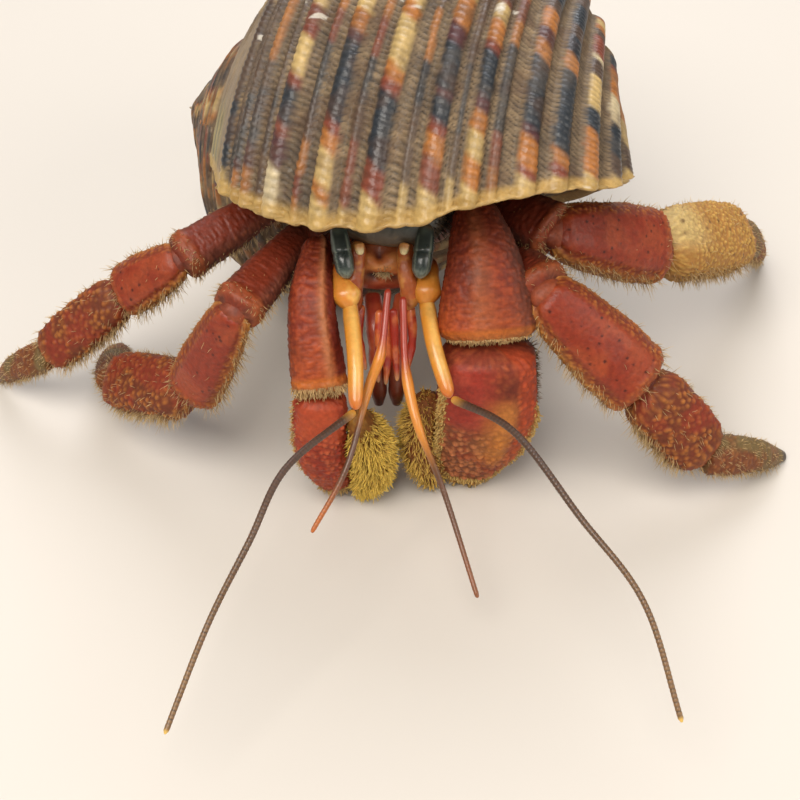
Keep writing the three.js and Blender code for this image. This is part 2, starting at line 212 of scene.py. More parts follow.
def finish_coat(name, grain, grain_depth, variation, coat=0.0, subsurface=0.0, gleam=0.5):
    """A finish that reads the paint at each point, with a fine grain in its tone, gloss and relief."""
    finish = bpy.data.materials.new(name)
    finish.use_nodes = True
    nodes, links = finish.node_tree.nodes, finish.node_tree.links
    shader = nodes["Principled BSDF"]
    painted = nodes.new("ShaderNodeAttribute")
    painted.attribute_name = "Paint"
    place = nodes.new("ShaderNodeTexCoord")
    fine = nodes.new("ShaderNodeTexNoise")
    fine.inputs["Scale"].default_value = grain
    fine.inputs["Detail"].default_value = 5
    broad = nodes.new("ShaderNodeTexNoise")
    broad.inputs["Scale"].default_value = grain * 0.22
    links.new(place.outputs["Object"], fine.inputs["Vector"])
    links.new(place.outputs["Object"], broad.inputs["Vector"])
    tone = nodes.new("ShaderNodeMapRange")
    tone.inputs["From Min"].default_value = 0.3
    tone.inputs["From Max"].default_value = 0.7
    tone.inputs["To Min"].default_value = 1 - variation
    tone.inputs["To Max"].default_value = 1 + variation
    links.new(fine.outputs["Fac"], tone.inputs["Value"])
    shaded = nodes.new("ShaderNodeVectorMath")
    shaded.operation = "SCALE"
    links.new(painted.outputs["Color"], shaded.inputs[0])
    links.new(tone.outputs["Result"], shaded.inputs["Scale"])
    links.new(shaded.outputs["Vector"], shader.inputs["Base Color"])
    worn = nodes.new("ShaderNodeMath")
    worn.operation = "MULTIPLY_ADD"
    worn.inputs[1].default_value = 0.3
    links.new(broad.outputs["Fac"], worn.inputs[0])
    lowered = nodes.new("ShaderNodeMath")
    lowered.operation = "SUBTRACT"
    lowered.inputs[1].default_value = 0.15
    links.new(painted.outputs["Alpha"], lowered.inputs[0])
    links.new(lowered.outputs["Value"], worn.inputs[2])
    links.new(worn.outputs["Value"], shader.inputs["Roughness"])
    relief = nodes.new("ShaderNodeBump")
    relief.inputs["Strength"].default_value = 0.6
    relief.inputs["Distance"].default_value = grain_depth
    links.new(fine.outputs["Fac"], relief.inputs["Height"])
    links.new(relief.outputs["Normal"], shader.inputs["Normal"])
    for socket, value in {
        "Specular IOR Level": gleam,
        "Coat Weight": coat,
        "Coat Roughness": 0.12,
        "Subsurface Weight": subsurface,
        "Subsurface Radius": (0.0012, 0.0005, 0.0003),
        "Subsurface Scale": 1.0,
    }.items():
        shader.inputs[socket].default_value = value
    return finish


GROWTH = math.log(2.4) / math.tau  # each whorl is 2.4 times the one before
COIL_AXIS = unit(np.array([-0.902, 0.432, -0.024]))
LIP_OUT = np.array([0, -math.cos(math.radians(19.7)), math.sin(math.radians(19.7))])
LIP_OUT = unit(LIP_OUT - COIL_AXIS * (LIP_OUT @ COIL_AXIS))
GROWTH_DOWN = np.cross(LIP_OUT, COIL_AXIS)
TIP_AHEAD = 38.4  # mm along the axis from the middle of the last whorl's tube to the tip
AXIS_OFF = 16.3  # mm from the axis to the middle of that tube
TUBE_OUT = 20.4  # half width of the tube away from the axis, mm
TUBE_ALONG = 25.9  # half width of the tube along the axis, mm
APEX = np.array([10.3, -14.3, 20.3]) + COIL_AXIS * TIP_AHEAD


def on_whorl(turn, around, lift):
    """A point of the coil: turn in degrees back from the lip, around the tube in degrees, lift in mm."""
    size = np.exp(GROWTH * np.radians(turn))
    dip = 2.4 * bell(around - 62, 24)
    out = size * (AXIS_OFF + (TUBE_OUT - dip + lift) * np.cos(np.radians(around)))
    along = size * (-TIP_AHEAD + (TUBE_ALONG - dip + lift) * np.sin(np.radians(around)))
    spoke = LIP_OUT * np.cos(np.radians(turn))[..., None] + GROWTH_DOWN * np.sin(np.radians(turn))[..., None]
    return APEX + COIL_AXIS * along[..., None] + spoke * out[..., None]


def lip_edge(around):
    """Degrees that the lip stands back at each place round the tube."""
    outer = 21 * step(-around, -14, 78)
    base = 26 * step(-around, 62, 125)
    suture = 47 * step(around, 95, 180)
    return -5 - outer - base - suture


# Each cord: its place round the tube, half width in degrees, height in mm, and its markings from the
# lip back, each as the degrees behind the lip where it begins and its paint.
PAINTS = {
    "cream": "c2a469", "amber": "ad6c2e", "rust": "7d3a26", "plum": "4d2629",
    "ink": "1f2831", "umber": "4f3c30", "chalk": "c9b791",
}
CORDS = [
    (41.0, 2.6, 0.9, "0 cream 9 ink 22 umber"),
    (36.8, 1.2, 0.5, "0 umber 10 ink 20 umber"),
    (33.0, 1.7, 0.8, "0 amber 10 plum 12 ink 24 umber"),
    (28.6, 1.8, 0.8, "0 amber 11 plum 15 ink 25 umber 30 amber"),
    (23.8, 1.0, 0.4, "0 umber 14 ink 24 umber"),
    (18.6, 2.8, 1.0, "0 chalk 13 plum 18 rust 20 ink 26 rust 28 cream 35 rust 42 cream"),
    (11.8, 1.3, 0.5, "0 amber 9 rust 13 amber 18 umber 21 ink 35 rust 42 amber"),
    (5.2, 2.9, 1.0, "0 cream 10 amber 12 cream 17 amber 20 rust 22.5 ink 36 plum 38 amber 42 cream 47 rust"),
    (-0.5, 1.3, 0.45, "0 cream 10 rust 20 umber 26 ink 34 rust 42 amber"),
    (-6.6, 3.0, 1.0, "0 cream 12 rust 17 ink 29 rust 31 amber 33 cream 43 amber 46 cream 56 rust"),
    (-13.4, 1.2, 0.45, "0 cream 15 umber 28 ink 36 amber 47 umber"),
    (-19.1, 2.9, 1.0, "0 cream 15.5 rust 20 amber 24 rust 26 ink 30 plum 31.5 ink"
     " 41 plum 45 amber 52 cream 57 rust"),
    (-24.0, 1.1, 0.45, "0 cream 18 umber 25 ink 38 umber"),
    (-28.4, 2.5, 1.0, "0 cream 17.5 amber 22 cream 26 amber 30 plum 33 ink 42 rust"
     " 44 amber 49 cream 54 rust"),
    (-33.6, 1.6, 0.6, "0 amber 21 rust 27 ink 46 amber 52 rust"),
    (-41.8, 3.2, 1.0, "0 cream 21 rust 23 amber 29 plum 31 ink 46 amber 50 plum 54 amber 60 umber"),
    (-51.1, 3.3, 1.0, "0 cream 23 rust 26 amber 29 ink 47 amber 52 ink 58 umber"),
    (-61.5, 3.4, 1.1, "0 cream 26 amber 37 ink 43 cream 52 umber 58 chalk"),
    (-73.4, 3.8, 1.1, "0 cream 29 umber 35 ink 45 chalk 55 amber"),
    (-85.5, 3.8, 1.0, "0 cream 36 umber 45 cream"),
    (-97.5, 3.8, 0.9, "0 cream 50 umber"),
    (-109.5, 3.8, 0.8, "0 cream 60 umber"),
]
for place in (-121.5, 51, 60.5, 70.5, 81, 92, 104, 117, 131):  # lower cords by the pillar and the suture
    CORDS.append((place, 3.2, 0.62, "0 umber 30 cream 36 umber"))
# Further back the markings line up from cord to cord as ragged flames.
chance = np.random.default_rng(31)
SOFT_MARK = 0.6  # degrees over which one marking fades into the next
FLAME = [("amber", 2, 4), ("cream", 4, 9), ("amber", 2, 5), ("rust", 2, 5), ("ink", 6, 13), ("umber", 3, 9)]
flames = []
flame_at = -50
while flame_at > -1300:
    for paint, least, most in FLAME:
        flames.append((flame_at, paint))
        flame_at -= chance.uniform(least, most)


def marked(turn, markings):
    """The paint along one cord: its own markings near the lip, then the flames further back."""
    words = markings.split()
    starts = [-float(word) for word in words[::2]]
    paints = words[1::2]
    ragged = chance.uniform(-7, 7)
    for start, paint in flames:
        at = start + ragged + chance.uniform(-2.5, 2.5)
        if at < starts[-1] - 1:
            starts.append(at)
            paints.append(paint if chance.random() > 0.18 else "umber")
    xs, cs = [], []
    for start, end, paint in zip(starts, starts[1:] + [-2000], paints):
        xs += [-(start - SOFT_MARK), -(end + SOFT_MARK)]
        cs += [colour(PAINTS[paint])] * 2
    cs = np.array(cs)
    return np.stack([np.interp(-turn, xs, cs[:, c]) for c in range(3)], axis=-1)


def whorl_surface(turn, around, lift=0.0):
    """Points, paint and roughness of the outside, with its cords, growth lines and lamellae."""
    flat = on_whorl(turn, around, 0 * turn)
    wander = mottle(flat, 9, 3) - 0.5
    waver = mottle(flat, 2.2, 5) - 0.5
    bent = around + 1.3 * wander
    low_cords = step(-turn, 36, 62)
    corded = step(bent, -121, -115) * np.maximum(step(-bent, -46, -43.5), low_cords * step(-bent, -138, -134))
    growth = np.sin(math.tau * (turn / 1.5 + 0.9 * waver + 0.05 * bent))
    lamella = np.abs(np.sin(math.pi * (turn / 1.15 + 0.22 * bent + 1.6 * waver)))
    ridge = np.zeros_like(turn)
    grit = mottle(flat, 0.8, 11)
    # The groove colour darkens in the creases between lamellae as painted shade.
    tint = painted(flat, "6f5c48", [
        ("a48b68", 1.5 * grit - 0.35),
        ("4c4036", 1.3 * (mottle(flat, 4, 13) - 0.38)),
        ("2f2823", 0.75 * (1 - lamella) ** 2),
    ])
    on_cord = np.zeros_like(turn)
    smeared = turn + 2.2 * wander + 1.6 * waver
    for place, half, height, markings in CORDS:
        reach = np.clip(1 - ((bent - place) / half) ** 2, 0, 1)
        ridge = np.maximum(ridge, height * reach**0.6)
        mine = marked(smeared + 0.35 * (bent - place), markings)
        ragged = 0.12 + 0.5 * (grit - 0.4)
        shown = step(reach, ragged, ragged + 0.38) * (0.75 if half < 2 else 0.97)
        tint = over(tint, mine, shown * corded)
        on_cord = np.maximum(on_cord, shown)
    on_cord = on_cord * corded
    light = 0.96 + 0.13 * growth * on_cord + 0.5 * (mottle(flat, 0.9, 17) - 0.5)
    tint = tint * light[..., None]
    worn = step(mottle(flat, 3.5, 21), 0.50, 0.68) * (0.25 + 0.75 * step(-turn, 30, 75))
    tint = over(tint, "83705a", 0.6 * worn * (0.4 + 0.6 * grit))
    stain = step(mottle(flat, 2.6, 22), 0.52, 0.7)
    tint = over(tint, "5a3c28", 0.35 * stain)
    # The shoulder below the suture is smooth: brown mottles above, yellow-green streaks near the lip.
    streak = mottle(np.stack([turn * 0.06, around * 0.9, 0 * turn], axis=-1), 3, 23)
    shoulder = painted(tint, "6d563c", [
        ("94794f", mottle(flat, 4, 25) * 1.4 - 0.2),
        ("4a3b2c", 1.6 * (streak - 0.52)),
    ])
    near_lip = step(turn, -26, -14) * step(around, 48, 66)
    shoulder = over(shoulder, "9c8a45", near_lip * 0.85)
    shoulder = over(shoulder, "4d4a26", near_lip * step(streak, 0.5, 0.62) * 0.7)
    tint = over(tint, shoulder, 1 - corded)
    behind = step(np.abs(around), 120, 150)
    tint = over(tint, "c3ae88", behind * 0.6)
    rim = turn - lip_edge(around)
    at_rim = step(rim, -2.6 + 3.0 * wander, -0.8)
    tint = over(tint, "c4a05c", at_rim * 0.85)
    tint = over(tint, "a5803f", at_rim * step(mottle(flat, 1.8, 27), 0.52, 0.7) * 0.6)
    chalk = step(mottle(flat, 1.6, 29, 2), 0.84, 0.88)
    tint = over(tint, "d8d0c0", chalk * 0.8)
    in_groove = (1 - on_cord) * corded
    lifted = corded * (-0.62 + 1.12 * ridge) - 0.12 * (1 - corded)
    lifted = lifted + in_groove * 0.34 * (lamella - 0.5) + on_cord * 0.06 * growth
    lifted = lifted - 0.12 * worn * on_cord + 0.16 * (mottle(flat, 1.1, 31) - 0.5) + lift
    rough = 0.80 - 0.40 * on_cord + 0.25 * worn - 0.2 * (1 - corded)
    return on_whorl(turn, around, lifted), tint, rough


ribbed_places = np.arange(-121, 46, 0.68)
plain_places = np.concatenate([np.arange(46, 136, 1.0), np.linspace(136, 239, 32, endpoint=False)])
rounds = np.concatenate([ribbed_places, plain_places])
rounds_wrapped = np.where(rounds > 180, rounds - 360, rounds)
scallop = 2.0 * (mottle(np.stack([rounds * 0.35, 0 * rounds, 0 * rounds], axis=-1), 3.0, 41) - 0.5)
for place, half, height, markings in CORDS:
    scallop = scallop + 0.5 * height * np.clip(1 - ((rounds_wrapped - place) / (half * 1.4)) ** 2, 0, 1)
ends_at = lip_edge(rounds_wrapped) + scallop - 0.3
shares = np.concatenate([np.linspace(0, 0.65, 150, endpoint=False), np.linspace(0.65, 1, 480)])
BACK = 372  # degrees that the last whorl runs back from the lip
turns = -BACK + (ends_at[None] + BACK) * shares[:, None]
around = np.broadcast_to(rounds_wrapped, turns.shape)
last_whorl, last_paint, last_gloss = whorl_surface(turns, around)
# The lip turns over in a rounded edge, and the mouth runs in from it, pale and smooth; deeper in it is
# painted dark as painted shade.
edge_steps = np.linspace(0, math.pi, 9)[1:]
rim_thick = 1.25
rim_turn = ends_at[None] + 0.75 * np.sin(edge_steps)[:, None]
rim_drop = rim_thick * (1 - np.cos(edge_steps))[:, None] / 2
bare_lip = on_whorl(ends_at, rounds_wrapped, 0 * ends_at)
outer_lift = np.linalg.norm(last_whorl[-1] - bare_lip, axis=-1)[None]
rim_lift = np.clip(outer_lift, 0, 0.6) * (1 - rim_drop / rim_thick) - rim_drop
rim = on_whorl(rim_turn, np.broadcast_to(rounds_wrapped, rim_turn.shape), rim_lift)
mouth_share = np.linspace(0, 1, 50)[1:]
mouth_turn = ends_at[None] * (1 - mouth_share[:, None]) - 215 * mouth_share[:, None]
mouth_drop = rim_thick + 0.65 * step(mouth_share, 0, 0.12)[:, None] + 0 * mouth_turn
mouth = on_whorl(mouth_turn, np.broadcast_to(rounds_wrapped, mouth_turn.shape), -mouth_drop)
rim_paint = painted(rim, "c8a562", [("8c6632", 1.2 * mottle(rim, 1.5, 43) - 0.3)])
# Deeper into the mouth the paint darkens as painted shade.
mouth_paint = painted(mouth, "a8946f", [
    ("6e5f4d", mottle(mouth, 6, 45)),
    ("4a3d31", 0.85 * step(mouth_share, 0.05, 0.22)[:, None]),
])
outside = np.concatenate([last_whorl, rim, mouth])
outside_paint = np.concatenate([last_paint, rim_paint, mouth_paint])
outside_gloss = np.concatenate([last_gloss, np.full(rim.shape[:2], 0.5), np.full(mouth.shape[:2], 0.32)])
# The older whorls wind back to the tip.
spire_rounds = np.linspace(-180, 180, 170, endpoint=False)
spire_turns = np.linspace(-1296, -352, 230)[:, None] + 0 * spire_rounds[None]
spire_around = np.broadcast_to(spire_rounds, spire_turns.shape)
spire, spire_paint, spire_gloss = whorl_surface(spire_turns, spire_around, -0.05)
# The pillar in the middle, which the whorls wind round.
pillar_share = np.linspace(0, 1, 60)
pillar_width = np.interp(pillar_share, [0, 0.02, 0.06, 0.14, 0.98, 1], [0.3, 2.2, 3.3, 3.9, 0.35, 0.1])
PILLAR_LENGTH = 43.3
pillar_foot = APEX - COIL_AXIS * PILLAR_LENGTH
pillar_angle = np.linspace(0, math.tau, 40, endpoint=False)
pillar = (
    pillar_foot
    + COIL_AXIS * (pillar_share * PILLAR_LENGTH)[:, None, None]
    + pillar_width[:, None, None]
    * (LIP_OUT * np.cos(pillar_angle)[None, :, None] + GROWTH_DOWN * np.sin(pillar_angle)[None, :, None])
)
pillar_paint = painted(pillar, "cbbb9d", [("8c7a5e", mottle(pillar, 3, 47))])
# The outside and spire of the shell are darkened all over as painted shade.
PAINTED_SHELL_SHADE = 0.84  # how much the outside and spire are darkened all over as painted shade
shell = skinned(
    "turban_shell",
    [outside, spire, pillar],
    [outside_paint * PAINTED_SHELL_SHADE, spire_paint * PAINTED_SHELL_SHADE, pillar_paint],
    [outside_gloss, spire_gloss, 0.4],
)
shell.data.materials.append(finish_coat("worn_shell", 1500, 0.00025, 0.16, coat=0.12))
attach(shell, "root")
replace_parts(shell, "shell")

# ---------------------------------------------------------------- the soft body
# Behind the shield the crab is soft: a leathery thorax, and an abdomen that curls back into the shell
# and holds it. Both are thin wrinkled skin, and they join the limbs and the shield without a seam.


def course(points, count):
    """A smooth way through points, as this many places evenly along it."""
    p = np.array(points, float)
    if len(p) == 2:
        return p[0] + (p[1] - p[0]) * np.linspace(0, 1, count)[:, None]
    p = np.concatenate([[2 * p[0] - p[1]], p, [2 * p[-1] - p[-2]]])
    dense = []
    for n in range(1, len(p) - 2):
        p0, p1, p2, p3 = p[n - 1 : n + 3]
        d0, d1, d2 = (np.linalg.norm(b - a) ** 0.5 for a, b in ((p0, p1), (p1, p2), (p2, p3)))
        m1 = ((p1 - p0) / d0 - (p2 - p0) / (d0 + d1) + (p2 - p1) / d1) * d1
        m2 = ((p2 - p1) / d1 - (p3 - p1) / (d1 + d2) + (p3 - p2) / d2) * d1
        t = np.linspace(0, 1, 60, endpoint=n == len(p) - 3)[:, None]
        ease = 3 * t**2 - 2 * t**3
        dense.append(p1 * (1 - ease) + p2 * ease + m1 * (t**3 - 2 * t**2 + t) + m2 * (t**3 - t**2))
    dense = np.concatenate(dense)
    run = np.concatenate([[0], np.cumsum(np.linalg.norm(np.diff(dense, axis=0), axis=1))])
    at = np.linspace(0, run[-1], count)
    return np.stack([np.interp(at, run, dense[:, c]) for c in range(3)], axis=-1)


class Limb:
    """A bare limb piece: a grid of points round a path, with its share of the length and of the turn."""

    def __init__(self, path, up, profile, spacing, square=2.4, round_end=0.5):
        ease = np.linspace(0, 1, 401)
        middle = course(path, 401)
        length = np.linalg.norm(np.diff(middle, axis=0), axis=1).sum()
        stations = np.array(profile)
        widths = np.array([np.interp(ease, stations[:, 0], stations[:, n]) for n in (1, 2)])
        kernel = np.exp(-(np.linspace(-2, 2, 31) ** 2))
        padded = np.pad(widths, ((0, 0), (15, 15)), mode="edge")
        widths = np.array([np.convolve(w, kernel / kernel.sum(), mode="valid") for w in padded])
        girth = 2 * math.pi * widths.mean(axis=0).max()
        rows, cols = int(length / spacing) + 16, int(girth / spacing)
        share = np.linspace(0, 1, rows - 12)
        cap = min(round_end * widths.min(axis=0)[[0, -1]].mean() * 1.6 / length, 0.3)
        near = cap * (1 - np.cos(np.linspace(0, math.pi / 2, 9)))[:-1]
        share = np.unique(np.concatenate([near, share[(share > cap) & (share < 1 - cap)], 1 - near]))
        tangent = unit(np.gradient(middle, axis=0))

        def at(table):
            return np.stack([np.interp(share, ease, table[:, c]) for c in range(3)], axis=-1)

        centre, tangent = at(middle), unit(at(tangent))
        side = unit(np.cross(tangent, np.array(up, float)))
        top = np.cross(side, tangent)
        width, depth = (np.interp(share, ease, w) for w in widths)
        ends = np.minimum(share, 1 - share) / cap
        rounded = np.sqrt(np.clip(1 - (1 - np.clip(ends, 0, 1)) ** 2, 0.0004, 1))
        fine = np.linspace(0, 1, 4001)
        c, s = np.cos(math.tau * fine), np.sin(math.tau * fine)
        across = np.sign(c) * np.abs(c) ** (2 / square)
        deep = np.sign(s) * np.abs(s) ** (2 / square)
        stride = np.hypot(np.diff(across) * width.mean(), np.diff(deep) * depth.mean())
        run = np.concatenate([[0], np.cumsum(stride)])
        even = (np.arange(cols) + 0.5) / cols * run[-1]
        angle, across, deep = (np.interp(even, run, table) for table in (fine, across, deep))
        self.points = (
            centre[:, None]
            + side[:, None] * ((width * rounded)[:, None] * across)[..., None]
            + top[:, None] * ((depth * rounded)[:, None] * deep)[..., None]
        )
        self.share = np.broadcast_to(share[:, None], self.points.shape[:2])
        self.angle = np.broadcast_to(angle[None], self.points.shape[:2])
        self.tangent = np.broadcast_to(tangent[:, None], self.points.shape)
        self.length = length
        self.facing_out()

    def facing_out(self):
        along = np.gradient(self.points, axis=0)
        about = np.roll(self.points, -1, axis=1) - np.roll(self.points, 1, axis=1)
        out = unit(np.cross(about, along))
        middle = self.points.mean(axis=1, keepdims=True)
        flip = np.sign(((self.points - middle) * out).sum(axis=-1).sum())
        self.out = out * flip

    def raise_by(self, lift):
        self.points = self.points + self.out * lift[..., None]

    def from_angle(self, angle):
        """How far round from an angle each point is, in turns, from 0 to a half."""
        return np.abs((self.angle - angle + 0.5) % 1 - 0.5)

    def band(self, angle, half, soft=0.04):
        return step(-self.from_angle(angle), -half - soft, -half + soft)


def pebbled(points, size, seed):
    """Distance from the nearest of many chance spots, in sizes, and a chance number for that spot."""
    q = points / size + 500
    home = np.floor(q)
    best, who = np.full(q.shape[:-1], 9.0), np.zeros(q.shape[:-1])
    for offset in np.ndindex(3, 3, 3):
        cell = home + np.array(offset) - 1
        spot = cell + 0.5 + 0.7 * (np.stack([scattered(cell, seed + n) for n in range(3)], axis=-1) - 0.5)
        far = np.linalg.norm(q - spot, axis=-1)
        who = np.where(far < best, scattered(cell, seed + 3), who)
        best = np.minimum(far, best)
    return best, who


BROWNER = np.array([0.90, 0.80, 0.52])  # turns the reds of claws and legs to rust


def add_piece(name, limb, tint, rough, finish):
    """Makes a limb piece's mesh, coats it and fixes it to the model."""
    piece = skinned(name, [limb.points], [tint], [rough])
    piece.data.materials.append(finish)
    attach(piece, "root")
    return piece


def place_piece(name, node, limb, tint, rough, finish):
    """Adds a piece in place of its solid."""
    if finish.name in ("limy_claw", "leg_skin"):
        tint = tint * BROWNER
    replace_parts(add_piece(name, limb, tint, rough, finish), node)


soft_finish = finish_coat("soft_skin", 1800, 0.00012, 0.12, coat=0.15, subsurface=0.12)
SOFT = {
    "thorax": (
        [[0.2, -27.4, 24], [2, -21, 24.8], [4.2, -14.5, 28.2]],
        [0, 0, 1],
        [[0, 5.4, 3.4], [0.3, 6.8, 4.2], [0.8, 6.2, 3.6], [1, 4.8, 2.8]],
    ),
    "abdomen": (
        [[4.5, -13.8, 28.6], [5, -8, 31], [5.4, -1.5, 27.6], [4.8, 2.2, 20.6]],
        [1, 0, 0],
        [[0, 4.2, 4], [0.25, 5, 4.8], [0.6, 4.4, 4.2], [0.9, 3, 2.8], [1, 1.8, 1.6]],
    ),
}
for name, (path, up, profile) in SOFT.items():
    limb = Limb(path, up, profile, 0.3)
    fold = np.sin(math.tau * (limb.share * limb.length / 1.6 + 1.2 * mottle(limb.points, 4, 61)))
    limb.raise_by(0.14 * fold - 0.14)
    tint = painted(limb.points, "8a5340", [
        ("6c3a2e", mottle(limb.points, 3, 62)),
        ("b98a6a", 0.4 * step(fold, 0.3, 1)),
    ])
    place_piece(f"soft_{name}", name, limb, tint, 0.5, soft_finish)

# ---------------------------------------------------------------- the shield
# The hard grey plate over the front of the body. It is chalky skin, cast and shed whole, pitted and
# freckled, with a worn brown edge.

hard_finish = finish_coat("hard_skin", 2300, 0.00014, 0.10, coat=0.12, subsurface=0.05)
shield = Limb(
    [[-0.6, -34.9, 28.4], [0.2, -30, 30.6], [2.2, -20, 31.5]],
    [0, -0.3, 1],
    [[0, 4.9, 1.3], [0.15, 6.1, 2.2], [0.6, 7.2, 3.2], [1, 6.6, 2.8]],
    0.16,
)
pit = pebbled(shield.points, 0.9, 71)[0]
shield_groove = bell(shield.share - 0.32 - 0.10 * np.cos(math.tau * (shield.angle - 0.25)), 0.02)
worn_edge = step(-shield.share, -0.10, -0.01) * 0.5 + shield.band(0.0, 0.09) * 0.5
worn_edge = worn_edge + shield.band(0.5, 0.09) * 0.5
uneven = mottle(shield.points, 2.5, 72) - 0.5
shield.raise_by(0.10 * uneven - 0.10 * step(-pit, -0.3, 0) - 0.2 * shield_groove)
tint = painted(shield.points, "5f645f", [
    ("40443f", 1.5 * mottle(shield.points, 2.4, 73) - 0.4),
    ("8b7a58", step(mottle(shield.points, 1.0, 74), 0.58, 0.72) * 0.7),
    ("6b5136", worn_edge),
    ("3b3c3a", 0.6 * step(-pit, -0.25, 0)),
])
place_piece(
    "grey_shield", "shield", shield, tint, 0.42 + 0.2 * mottle(shield.points, 1.5, 75),
    hard_finish,
)

# ---------------------------------------------------------------- the face
# Orange skin between the eyes: a shallow notch in the middle under the shield's edge, a ridge on each
# side, two pale scales at the root of the eyestalks, and a dark hollow where the mouthparts start.

face = Limb(
    [[-0.6, -28, 25.3], [-0.4, -36.3, 24.3]],
    [0, 0.2, 1],
    [[0, 5.2, 2.8], [0.7, 5, 2.9], [1, 3.8, 2.2]],
    0.13,
    round_end=0.9,
)
across = face.points[..., 0] + 0.5
slope = face.points[..., 1] + face.points[..., 2]  # falls as the face runs down and forward
seen = step(face.out[..., 2] - face.out[..., 1], 0.2, 0.7)


def spot(x, at, wide, tall):
    """A soft spot on the face, so far from its middle line and so far down its slope."""
    return np.exp(-(((across - x) / wide) ** 2) - ((slope - at) / tall) ** 2) * seen


notch = spot(-0.25, -7.9, 0.35 + 0.6 * np.clip(slope + 8.3, 0, 2), 0.6)
brow = spot(0, -6.9, 2.6, 0.35)
ridge = spot(0, -9.6, 2.2, 0.4)
lobes = spot(-1.5, -8.4, 0.7, 0.8) + spot(1.3, -8.4, 0.7, 0.8)
hollow = spot(-1.1, -11.1, 0.75, 0.6) + 0.7 * spot(1.5, -11.4, 0.5, 0.5)
folds = spot(-2.2, -10.5, 0.4, 1.6) + spot(2.3, -10.5, 0.4, 1.6)
face.raise_by(0.30 * ridge + 0.30 * lobes + 0.25 * folds - 0.7 * notch - 0.3 * brow - 1.0 * hollow)
face.raise_by(0.16 * (mottle(face.points, 1.0, 81) - 0.5))
# The notch, the brow line under the shield's edge and the hollow are darkened as painted shade.
tint = painted(face.points, "b8602a", [
    ("8a3a1f", 1.6 * mottle(face.points, 1.5, 82) - 0.5),
    ("d48e46", 0.85 * ridge + 0.65 * lobes + 0.4 * folds),
    ("a8391f", step(-slope, 11.3, 12.8) * 0.7),
    ("521509", np.clip(1.3 * notch + 1.0 * brow, 0, 1)),
    ("2d100b", np.clip(1.2 * hollow, 0, 1)),
])
place_piece("orange_face", "face", face, tint, 0.45 + 0.15 * mottle(face.points, 1, 84), hard_finish)
tuft_place = spot(0.25, -10.3, 0.55, 0.35)
PILLARS = {
    "right": [[-2.9, -34.6, 28.6], [-3.1, -37.2, 26.6], [-3.4, -38.4, 24.2], [-3.0, -37.6, 22.4]],
    "left": [[2.0, -34.6, 28.6], [2.0, -37.2, 26.6], [2.4, -38.2, 24.2], [2.0, -37.4, 22.4]],
}
for side, path in PILLARS.items():
    pillar_skin = Limb(
        path,
        [0, -0.6, 0.8],
        [[0, 0.9, 0.7], [0.4, 0.85, 0.75], [0.8, 1.0, 0.8], [1, 0.8, 0.7]],
        0.11,
        2.2,
        1.0,
    )
    pillar_skin.raise_by(0.16 * (mottle(pillar_skin.points, 0.9, 85) - 0.5))
    tint = painted(pillar_skin.points, "b35f28", [
        ("7d3319", 1.5 * mottle(pillar_skin.points, 1.3, 86) - 0.4),
        ("d0954a", 0.6 * step(mottle(pillar_skin.points, 1.1, 87), 0.5, 0.7)),
    ])
    add_piece(f"{side}_face_pillar", pillar_skin, tint, 0.4, hard_finish)
SCALES = {
    "right": [[-2.8, -35.6, 29.2], [-2.6, -36.6, 28.4]],
    "left": [[1.9, -35.6, 29.2], [1.75, -36.6, 28.4]],
}
for side, path in SCALES.items():
    scale = Limb(path, [0, -0.6, 0.8], [[0, 0.55, 0.4], [0.5, 0.5, 0.36], [1, 0.3, 0.24]], 0.08, square=2)
    tint = painted(scale.points, "c98a4a", [("e3cf9a", step(scale.share, 0.3, 0.8))])
    add_piece(f"{side}_eye_scale", scale, tint, 0.4, hard_finish)

# ---------------------------------------------------------------- the eyes
# Long dark beans on short stalks. The stalk is hard skin and the end is a wet clear cornea over
# thousands of dark facets, so both shine.

